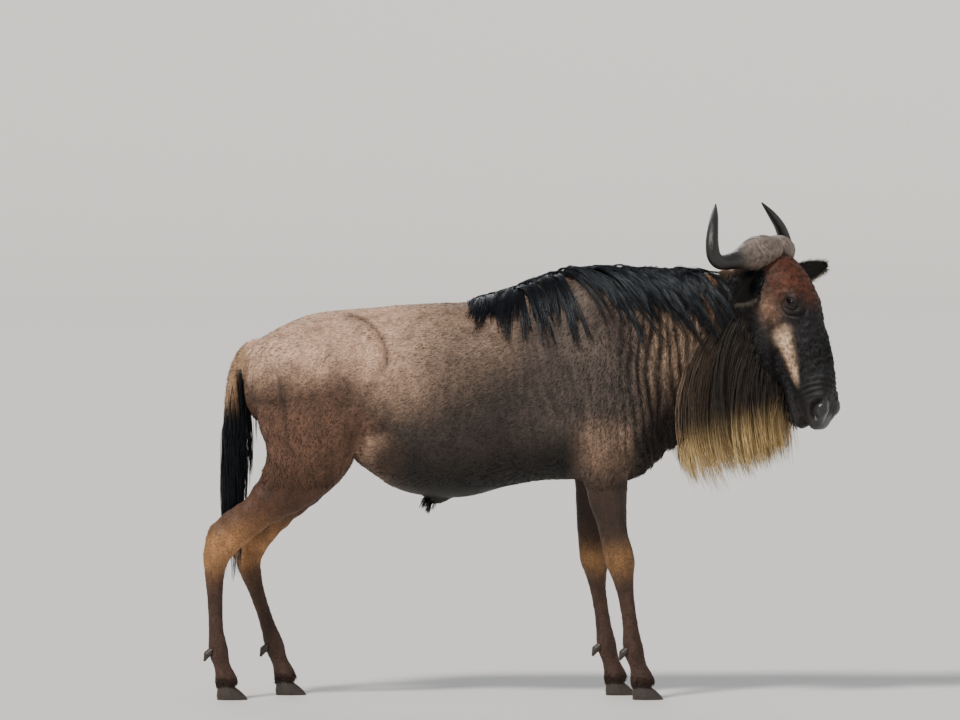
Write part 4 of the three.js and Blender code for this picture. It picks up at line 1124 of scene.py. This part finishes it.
def make_switch():
    dock = smooth_rows(TAIL, 8)
    guides = []
    for k in range(SWITCH_LOCKS):
        share = (k + 0.5) / SWITCH_LOCKS
        x, y, z, depth, _ = dock[int(round(16 + share * (len(dock) - 17)))]
        angle = k * 2.4
        out = np.array([math.cos(angle), math.sin(angle), 0])
        length = 350 * rng.uniform(0.7, 1.12)
        t = np.linspace(0, 1, 12)[:, None]
        swell = depth * 0.5 + 20 * np.sin(math.pi * np.minimum(1, t + 0.08) * 0.8)
        line = np.array([x + 4, y, z]) + out * swell + np.array([max(0, (z - 700) / 14), 4, -length]) * t
        guides.append(((line, np.tile(out, (12, 1))), (DOCK_HAIR, TAIL_HAIR), rng.uniform(0.7, 1.2)))
    fill_locks("tail_switch", guides, SWITCH_STRANDS, black_hair, "coat", 2600, width=34, depth=9,
               hair_width=2.6, taper=0.6, pale=tail_dark)


make_switch()


def tuft_guides(spots, spread, length, pull, colours, locks):
    """Guides of small tufts that grow round the given spots."""
    guides = []
    for spot in spots:
        for _ in range(locks):
            root = np.array(spot) + rng.normal(0, spread, 3)
            pull_k = unit(np.array(pull) + rng.normal(0, 0.12, 3))
            line = lay_guide(root, pull_k, pull_k, length * rng.uniform(0.6, 1.1), 0.2, 6, 2.0)
            guides.append((line, colours, rng.uniform(0.6, 1.2)))
    return guides


def make_small_tufts():
    """Tufts on the chin and the sheath, and the long black hair round the base of each ear."""
    chin = tuft_guides([in_head(a, -112, s) for a in (440, 480) for s in (-18, 18)], 9, 46, (0.15, 0, -1),
                       (CHEEK_DARK, MANE_HAIR), 7)
    sheath = tuft_guides([(-150, 0, 596), (-158, 0, 592)], 8, 42, (-0.3, 0, -1), (SHADED_BELLY, MANE_HAIR), 8)
    ears = []
    for name, side in SIDES:
        along, up, out = EARS[name]["root"]
        spots = [in_head(along + da, up + du, out + side * 4)
                 for da, du in ((-22, 6), (-8, -22), (14, -30), (-30, -14))]
        ears += tuft_guides(spots, 9, 62, (-0.25, -0.1 * side, -1), (EAR_HAIR, MANE_HAIR), 7)
    fill_locks("small_tufts", chin + sheath + ears, 12, black_hair, "coat", 3000, width=16, depth=6,
               hair_width=1.5, taper=0.6)


make_small_tufts()

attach(skin, "root")
LEG_NODES = [f"{place}leg_{name}" for place in ("fore", "hind") for name, _ in SIDES]
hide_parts("torso", "neck", "head", "tail", *LEG_NODES)


# Horns: broad, rough bosses that meet over the crown, and smooth dark hooks

def horn_material():
    """A bull's horn: keratin, worn grey and fibrous on the boss, dark and polished on the hook.

    Its fibres are drawn 4.35 mm wide, as coarse as they need to show, and its stains 42 mm wide.
    """
    material, tree, surface = start_material("horn", IOR=1.55)
    place = add(tree, "ShaderNodeTexCoord").outputs["Object"]
    grain = add(tree, "ShaderNodeTexNoise", Vector=place, Scale=per_metre(4.35), Detail=6.0, Roughness=0.65)
    stains = add(tree, "ShaderNodeTexNoise", Vector=place, Scale=per_metre(41.7), Detail=4.0)
    shade = mottle(tree, surface, grain, (0.5, 1.4), stains, (0.8, 1.2))
    # the paler and more worn the horn, the rougher it is; the painted shade in the boss's grooves makes them
    # smoother
    tone_and_groove_shade = add(tree, "ShaderNodeSeparateColor", Color=shade.outputs["Color"])
    rough = add(tree, "ShaderNodeMapRange", Value=tone_and_groove_shade.outputs[0], _1=0.03, _2=0.18, _3=0.3, _4=0.62)
    tree.links.new(rough.outputs[0], surface.inputs["Roughness"])
    bump = add(tree, "ShaderNodeBump", Height=grain.outputs[0], Strength=0.7, Distance=0.0025)
    tree.links.new(bump.outputs[0], surface.inputs["Normal"])
    return material


HORN_BOSS = linear("64574d")
HORN_HOOK = linear("141110")
HORN_SIDES = 72
BOSS_RINGS = 92  # rings of the horn that may still be rough, from the crown outwards
HORN_INSET = 0.6  # room for the roughness, under the solid's surface


def make_horns():
    material = horn_material()
    forward = turned(1, 0, 0)
    angles = np.arange(HORN_SIDES) * 2 * math.pi / HORN_SIDES
    for name, side in SIDES:
        fine = smooth_rows(HORN, 14)
        middles = np.array([POLL + turned(fore, side * out, up) for fore, out, up, _, _ in fine])
        rings, colours = [], []
        for i, (_, reach, _, deep, tall) in enumerate(fine):
            line = unit(middles[min(i + 1, len(fine) - 1)] - middles[max(i - 1, 0)])
            fore = unit(forward - line * np.dot(forward, line))
            high = np.cross(line, fore)
            ring = middles[i] + np.cos(angles)[:, None] * fore * (deep - HORN_INSET) \
                + np.sin(angles)[:, None] * high * (tall - HORN_INSET)
            boss = 1 - ramp(95, 175, reach) if i < BOSS_RINGS else 0.0
            out = unit(ring - middles[i])
            rough = noise(ring, 7) * 1.3 + noise(ring, 20) * 3
            wrinkle = np.abs(np.sin(i * math.pi / 5.5 + 3.4 * noise(ring, 30))) ** 0.5 * 3.2 \
                + np.sin(angles * 7 + 3 * noise(ring, 26)) * 0.9 - 2.2
            groove = -5 * math.exp(-(reach / 9) ** 2)
            ring = ring + out * (boss * (rough + wrinkle * ramp(30, 70, reach)) + groove)[:, None]
            if reach < 12:  # neither boss crosses the middle of the crown
                inward = (ring - POLL) @ LATERAL * side
                ring = ring + LATERAL * side * np.maximum(0.3 - inward, 0)[:, None]
            rings.append(ring)
            # the boss's tone varies at random, is painted darker in the grooves of its wrinkles as shade, and
            # is a little paler on their ridges
            tone_and_groove_shade = 1 + boss * (0.28 * noise(ring, 6) + 0.24 * np.clip(wrinkle, -2, 1))
            colours.append((HORN_HOOK + (HORN_BOSS - HORN_HOOK) * boss) * tone_and_groove_shade[:, None])
        piece = new_piece(f"horn_{name}_rough", *ring_body(rings), material)
        put_colours(piece.data, np.concatenate(colours + [colours[0][:1], colours[-1][:1]]))
        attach(piece, "root")
        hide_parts(f"horn_{name}")


make_horns()


# Ears: a furred leaf with a deep cup

EAR_HAIRS = 2600


def ear_section(t):
    """Half width, depth of the cup and wall of the ear, at a share of its length."""
    half = 4 + (EAR_HALF_WIDTH - 5) * np.sin(math.pi * (0.2 + 0.8 * t)) ** 0.75
    return half, half * (0.85 - 0.35 * t), 4.2 - 2 * t


def make_ear_leaf(name, root, length, line, across, face):
    rings, colours = [], []
    u = np.linspace(-1, 1, 19)
    edge = ramp(0.72, 0.98, np.abs(u))[:, None]
    black = np.tile(EAR_HAIR, (19, 1))
    for t in np.linspace(0, 0.985, 30):
        half, cup, wall = ear_section(t)
        middle = root + line * length * (t - 0.06 * u[:, None] ** 2)
        inner = middle + across * (u * half)[:, None] + face * (cup * (u * u - 1))[:, None]
        outer = middle + across * (u * (half + 1))[:, None] + face * (cup * (u * u - 1) - wall)[:, None]
        rings.append(np.concatenate([inner, outer[::-1]]))
        inside = EAR_INSIDE * 0.8 * (0.35 + 0.65 * ramp(0.15, 0.5, t))
        colours.append(np.concatenate([inside * (1 - edge) + EAR_HAIR * edge, black]))
    leaf = new_piece(f"ear_{name}_leaf", *ring_body(rings), skin_hair)
    put_colours(leaf.data, np.concatenate(colours + [colours[0][:1], colours[-1][:1]]))
    unwrap(leaf)
    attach(leaf, "root")
    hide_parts(f"ear_{name}")
    return leaf.data


def make_ear_hair(name, side, leaf, root, length, line, across, face):
    """Hair of the ear's back, its rim and its cup."""
    t = rng.random(EAR_HAIRS) ** 0.8 * 0.97
    u = rng.uniform(-1, 1, EAR_HAIRS)
    rim = rng.random(EAR_HAIRS) < 0.45
    u = np.where(rim, np.sign(u) * rng.uniform(0.86, 1.0, EAR_HAIRS), u)
    back = rng.random(EAR_HAIRS) < 0.6
    half, cup, wall = ear_section(t)
    points = root + line * (length * (t - 0.06 * u ** 2))[:, None] + across * (u * half)[:, None] \
        + face * (cup * (u * u - 1) - np.where(back, wall, 0))[:, None]
    slope = unit(face - across * (2 * cup * u / half)[:, None])
    normals = np.where(back[:, None], -slope, slope)
    way = unit(line + across * (u * 0.35)[:, None] + face * np.where(back, -0.05, 0.3)[:, None]
               + rng.normal(0, 0.22, (EAR_HAIRS, 3)))
    size = np.where(rim, rng.uniform(10, 26, EAR_HAIRS), rng.uniform(6, 12, EAR_HAIRS))
    paths = np.stack([points, points + (way + normals * 0.12) * (size * 0.5)[:, None],
                      points + way * size[:, None]], axis=1)
    widths = np.tile([1.4, 1.0], (EAR_HAIRS, 1))
    colour = np.where((~back & ~rim)[:, None], EAR_INSIDE, EAR_HAIR) * rng.uniform(0.7, 1.3, (EAR_HAIRS, 1))
    fringe = (rim & (t > 0.35) & (u * side > 0))[:, None]
    colour = np.where(fringe, EAR_FRINGE * rng.uniform(0.6, 1.1, (EAR_HAIRS, 1)), colour)
    # each hair's place on the leaf's own map
    places = read_rows(leaf.uv_layers[BAKE_MAP].data, "uv", 2)
    tree = BVHTree.FromPolygons([v.co for v in leaf.vertices], [tuple(p.vertices) for p in leaf.polygons])
    near = [leaf.polygons[tree.find_nearest(Vector(point))[2]] for point in metres(points)]
    uv = np.array([places[list(polygon.loop_indices)].mean(axis=0) for polygon in near])
    strand_piece(f"ear_{name}_hair", paths, unit(np.cross(way, normals))[:, None], normals[:, None],
                 widths, widths * 0.5, colour, colour * 1.2, uv, coat_hair, "coat")


def make_ears():
    for name, side in SIDES:
        along, up, out = EARS[name]["root"]
        root, tip = in_head(along, up, out), in_head(*EARS[name]["tip"])
        line = unit(tip - root)
        across = unit(np.cross(line, EARS[name]["open"]))
        shape = root, np.linalg.norm(tip - root), line, across, unit(np.cross(across, line))
        leaf = make_ear_leaf(name, *shape)
        make_ear_hair(name, side, leaf, *shape)


make_ears()


# Eyes: large, dark brown, with a level oval pupil and a wet front

IRIS = linear("26150b")
PUPIL = linear("060505")
EYE_RIM = linear("171010")
LONG_WAY = FACE * math.cos(EYE_SLANT) + BROWWARD * math.sin(EYE_SLANT)
OPEN_WAY = BROWWARD * math.cos(EYE_SLANT) - FACE * math.sin(EYE_SLANT)
LID_STEPS = 16


def eye_material():
    """A living eye: a clear wet cornea over a dark iris, so it is smooth and mirrors small bright spots."""
    material, tree, surface = start_material("eye", Roughness=0.06, IOR=1.38, Specular_IOR_Level=0.3,
                                             Coat_Weight=0.25, Coat_Roughness=0.02)
    shade = add(tree, "ShaderNodeAttribute", {"attribute_name": "coat"})
    tree.links.new(shade.outputs["Color"], surface.inputs["Base Color"])
    return material


def make_eyeball(name, centre, out, material):
    angles = np.arange(48) * 2 * math.pi / 48
    radius = EYE_RADIUS - 0.2
    rings = []
    for lat in np.linspace(-0.5 * math.pi + 0.05, 0.5 * math.pi - 0.02, 30):
        bulge = 1.2 * max(0, math.sin(lat)) ** 6
        round_way = np.cos(angles)[:, None] * LONG_WAY + np.sin(angles)[:, None] * OPEN_WAY
        rings.append(centre + out * (math.sin(lat) * radius + bulge) + math.cos(lat) * radius * round_way)
    corners, faces = ring_body(rings)
    ball = new_piece(f"eye_{name}_ball", corners, faces, material)
    off = corners - centre
    wide, high, front = off @ LONG_WAY, off @ OPEN_WAY, off @ out > 0
    tone = np.tile(EYE_RIM, (len(corners), 1))
    tone = blend(tone, IRIS, ramp(15.5, 13.5, np.hypot(wide, high)) * front)
    tone = blend(tone, PUPIL, ramp(1.1, 0.9, np.hypot(wide / 8.5, high / 5.5)) * front)
    put_colours(ball.data, tone)
    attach(ball, "root")
    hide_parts(f"eye_{name}")


def make_lids(name, centre, out, material):
    """Two thick rims that meet at the corners of the eye."""
    bodies = []
    for lift, radius in ((1, 3.9), (-1, 2.4)):
        middles, radii = [], []
        for k in range(LID_STEPS + 1):
            angle = math.pi * (k / LID_STEPS - 0.5)
            across, opened = math.sin(angle), max(math.cos(angle), 0)
            middles.append(centre + LONG_WAY * across * (EYE_RADIUS * 0.98)
                           + OPEN_WAY * lift * opened * (EYE_RADIUS * 0.56)
                           + out * EYE_RADIUS * (0.42 + 0.47 * opened ** 0.8))
            radii.append(radius * (0.55 + 0.45 * math.sin(math.pi * k / LID_STEPS)))
        bodies.append(ring_body(tube_rings(middles, radii, 12)))
    lids = new_piece(f"eye_{name}_lids", *joined(bodies), material)
    put_colours(lids.data, np.tile(EYE_SKIN, (len(lids.data.vertices), 1)))
    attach(lids, "root")


def make_eyes():
    wet = eye_material()
    # Bare black skin of the lids, finely wrinkled at 1.43 mm and half glossy
    bare = hair_material("lid", clump=1.43, roughness=0.5, bump=0.4, speckle=0.2)
    for name, side in SIDES:
        centre = in_head(EYE_AT[0], EYE_AT[1], side * EYE_AT[2])
        make_eyeball(name, centre, LATERAL * side, wet)
        make_lids(name, centre, LATERAL * side, bare)


make_eyes()


# Hooves and dew claws

HOOF_DARK = (*linear("15110f"), 1)
HOOF_PALE = (*linear("42382f"), 1)
GROWTH_RING = 5.24  # a band wave of scale 1 repeats every 2 pi / 20 metres
HOOF_VOXEL = 0.0022
HOOF_ROUNDS, DEWCLAW_ROUNDS = 14, 120
SOLE = 0.004  # metres: below this the hoof stays flat on the floor


def hoof_material():
    """A hoof's wall: half matt keratin, with level growth rings and dusty scratches drawn 5.56 mm wide."""
    material, tree, surface = start_material("hoof", Roughness=0.5)
    place = add(tree, "ShaderNodeTexCoord").outputs["Object"]
    rings = add(tree, "ShaderNodeTexWave", {"bands_direction": "Z"}, Vector=place,
                Scale=per_metre(GROWTH_RING) * 2 * math.pi / 20, Distortion=2.0, Detail=2.0)
    grain = add(tree, "ShaderNodeTexNoise", Vector=place, Scale=per_metre(5.56), Detail=5.0)
    tone = add(tree, "ShaderNodeMix", {"data_type": "RGBA"}, _0=grain.outputs[0], _6=HOOF_DARK, _7=HOOF_PALE)
    tree.links.new(tone.outputs[2], surface.inputs["Base Color"])
    height = add(tree, "ShaderNodeMath", {"operation": "ADD"}, _0=rings.outputs["Fac"], _1=grain.outputs[0])
    bump = add(tree, "ShaderNodeBump", Height=height.outputs[0], Strength=0.35, Distance=0.0008)
    tree.links.new(bump.outputs[0], surface.inputs["Normal"])
    return material


def make_hooves():
    material = hoof_material()
    for node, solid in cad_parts.items():
        if not node.startswith(("hoof", "dewclaw")):
            continue
        piece = linked(f"{node}_horn", solid.data.copy())
        remesh_piece(piece, HOOF_VOXEL)
        mesh = piece.data
        share = np.where(points_of(mesh)[:, 2] < SOLE, 0.0, 1.0)
        relax(mesh, DEWCLAW_ROUNDS if node.startswith("dewclaw") else HOOF_ROUNDS, share)
        mesh.materials.clear()
        mesh.materials.append(material)
        mesh.shade_smooth()
        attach(piece, "root")
        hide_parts(node)


make_hooves()


# Studio: a pale floor that sweeps up far away, soft light, and a camera at the photo's angle. Metres.

FLOOR_RADIUS = 44
SWEEP = 14
FLOOR_SIDES = 96
# Lights: [name, from, strength, softness in degrees, colour]
LIGHTS = [
    ["key", (-2.7, -3.6, 5.6), 3.9, 12, (1, 0.95, 0.88)],
    ["fill", (4.0, -4.0, 2.0), 0.3, 40, (0.92, 0.96, 1)],
    ["rim", (-1.0, 4.0, 3.0), 0.9, 30, (0.95, 0.97, 1)],
]
LIT_POINT = Vector((0, 0, 0.8))


def make_floor():
    # Matt paper backdrop, almost even, with very shallow waves
    material, tree, surface = start_material("studio_floor", Base_Color=(0.64, 0.63, 0.61, 1), Roughness=0.9)
    waves = add(tree, "ShaderNodeTexNoise", Scale=3.0)
    bump = add(tree, "ShaderNodeBump", Height=waves.outputs[0], Strength=0.02)
    tree.links.new(bump.outputs[0], surface.inputs["Normal"])
    profile = [(1, 0), (20, 0), (FLOOR_RADIUS, 0)]
    profile += [(FLOOR_RADIUS + SWEEP * math.sin(a), SWEEP - SWEEP * math.cos(a))
                for a in np.linspace(0.05, math.pi / 2, 16)]
    turns = np.arange(FLOOR_SIDES) * 2 * math.pi / FLOOR_SIDES
    corners = [(r * math.cos(a), r * math.sin(a), height) for r, height in profile for a in turns]
    faces = [tuple(range(FLOOR_SIDES))]
    for start in range(0, len(corners) - FLOOR_SIDES, FLOOR_SIDES):
        for k in range(FLOOR_SIDES):
            a, b = start + k, start + (k + 1) % FLOOR_SIDES
            faces.append((a, a + FLOOR_SIDES, b + FLOOR_SIDES, b))
    mesh = bpy.data.meshes.new("studio_floor")
    mesh.from_pydata(corners, [], faces)
    mesh.shade_smooth()
    mesh.materials.append(material)
    linked("studio_floor", mesh)


def make_lights():
    world = bpy.data.worlds.new("studio")
    world.use_nodes = True
    back = world.node_tree.nodes["Background"]
    back.inputs["Color"].default_value = (0.93, 0.95, 1.0, 1)
    back.inputs["Strength"].default_value = 0.5
    bpy.context.scene.world = world
    for name, spot, strength, softness, colour in LIGHTS:
        data = bpy.data.lights.new(name, "SUN")
        data.energy, data.angle, data.color = strength, math.radians(softness), colour
        light = linked(name, data)
        light.location = spot
        light.rotation_euler = (LIT_POINT - Vector(spot)).to_track_quat("-Z", "Y").to_euler()


# Camera: level with the animal's middle, a long lens far away, 3 mm of animal to each picture point
CAMERA_DISTANCE = 25.0
CAMERA_RISE = math.radians(2)
SENSOR_WIDTH = 36  # millimetres
VIEW_WIDTH = 2.88
VIEW_MIDDLE = (0.0, 0.0, 1014.0)  # millimetres


def make_camera():
    data = bpy.data.cameras.new("camera")
    data.sensor_width = SENSOR_WIDTH
    data.lens = SENSOR_WIDTH * CAMERA_DISTANCE / VIEW_WIDTH
    data.clip_end = 200
    camera = linked("camera", data)
    aim = Vector(metres(VIEW_MIDDLE))
    camera.location = aim + Vector((0, -math.cos(CAMERA_RISE), math.sin(CAMERA_RISE))) * CAMERA_DISTANCE
    camera.rotation_euler = (math.pi / 2 - CAMERA_RISE, 0, 0)
    bpy.context.scene.camera = camera


make_floor()
make_lights()
make_camera()
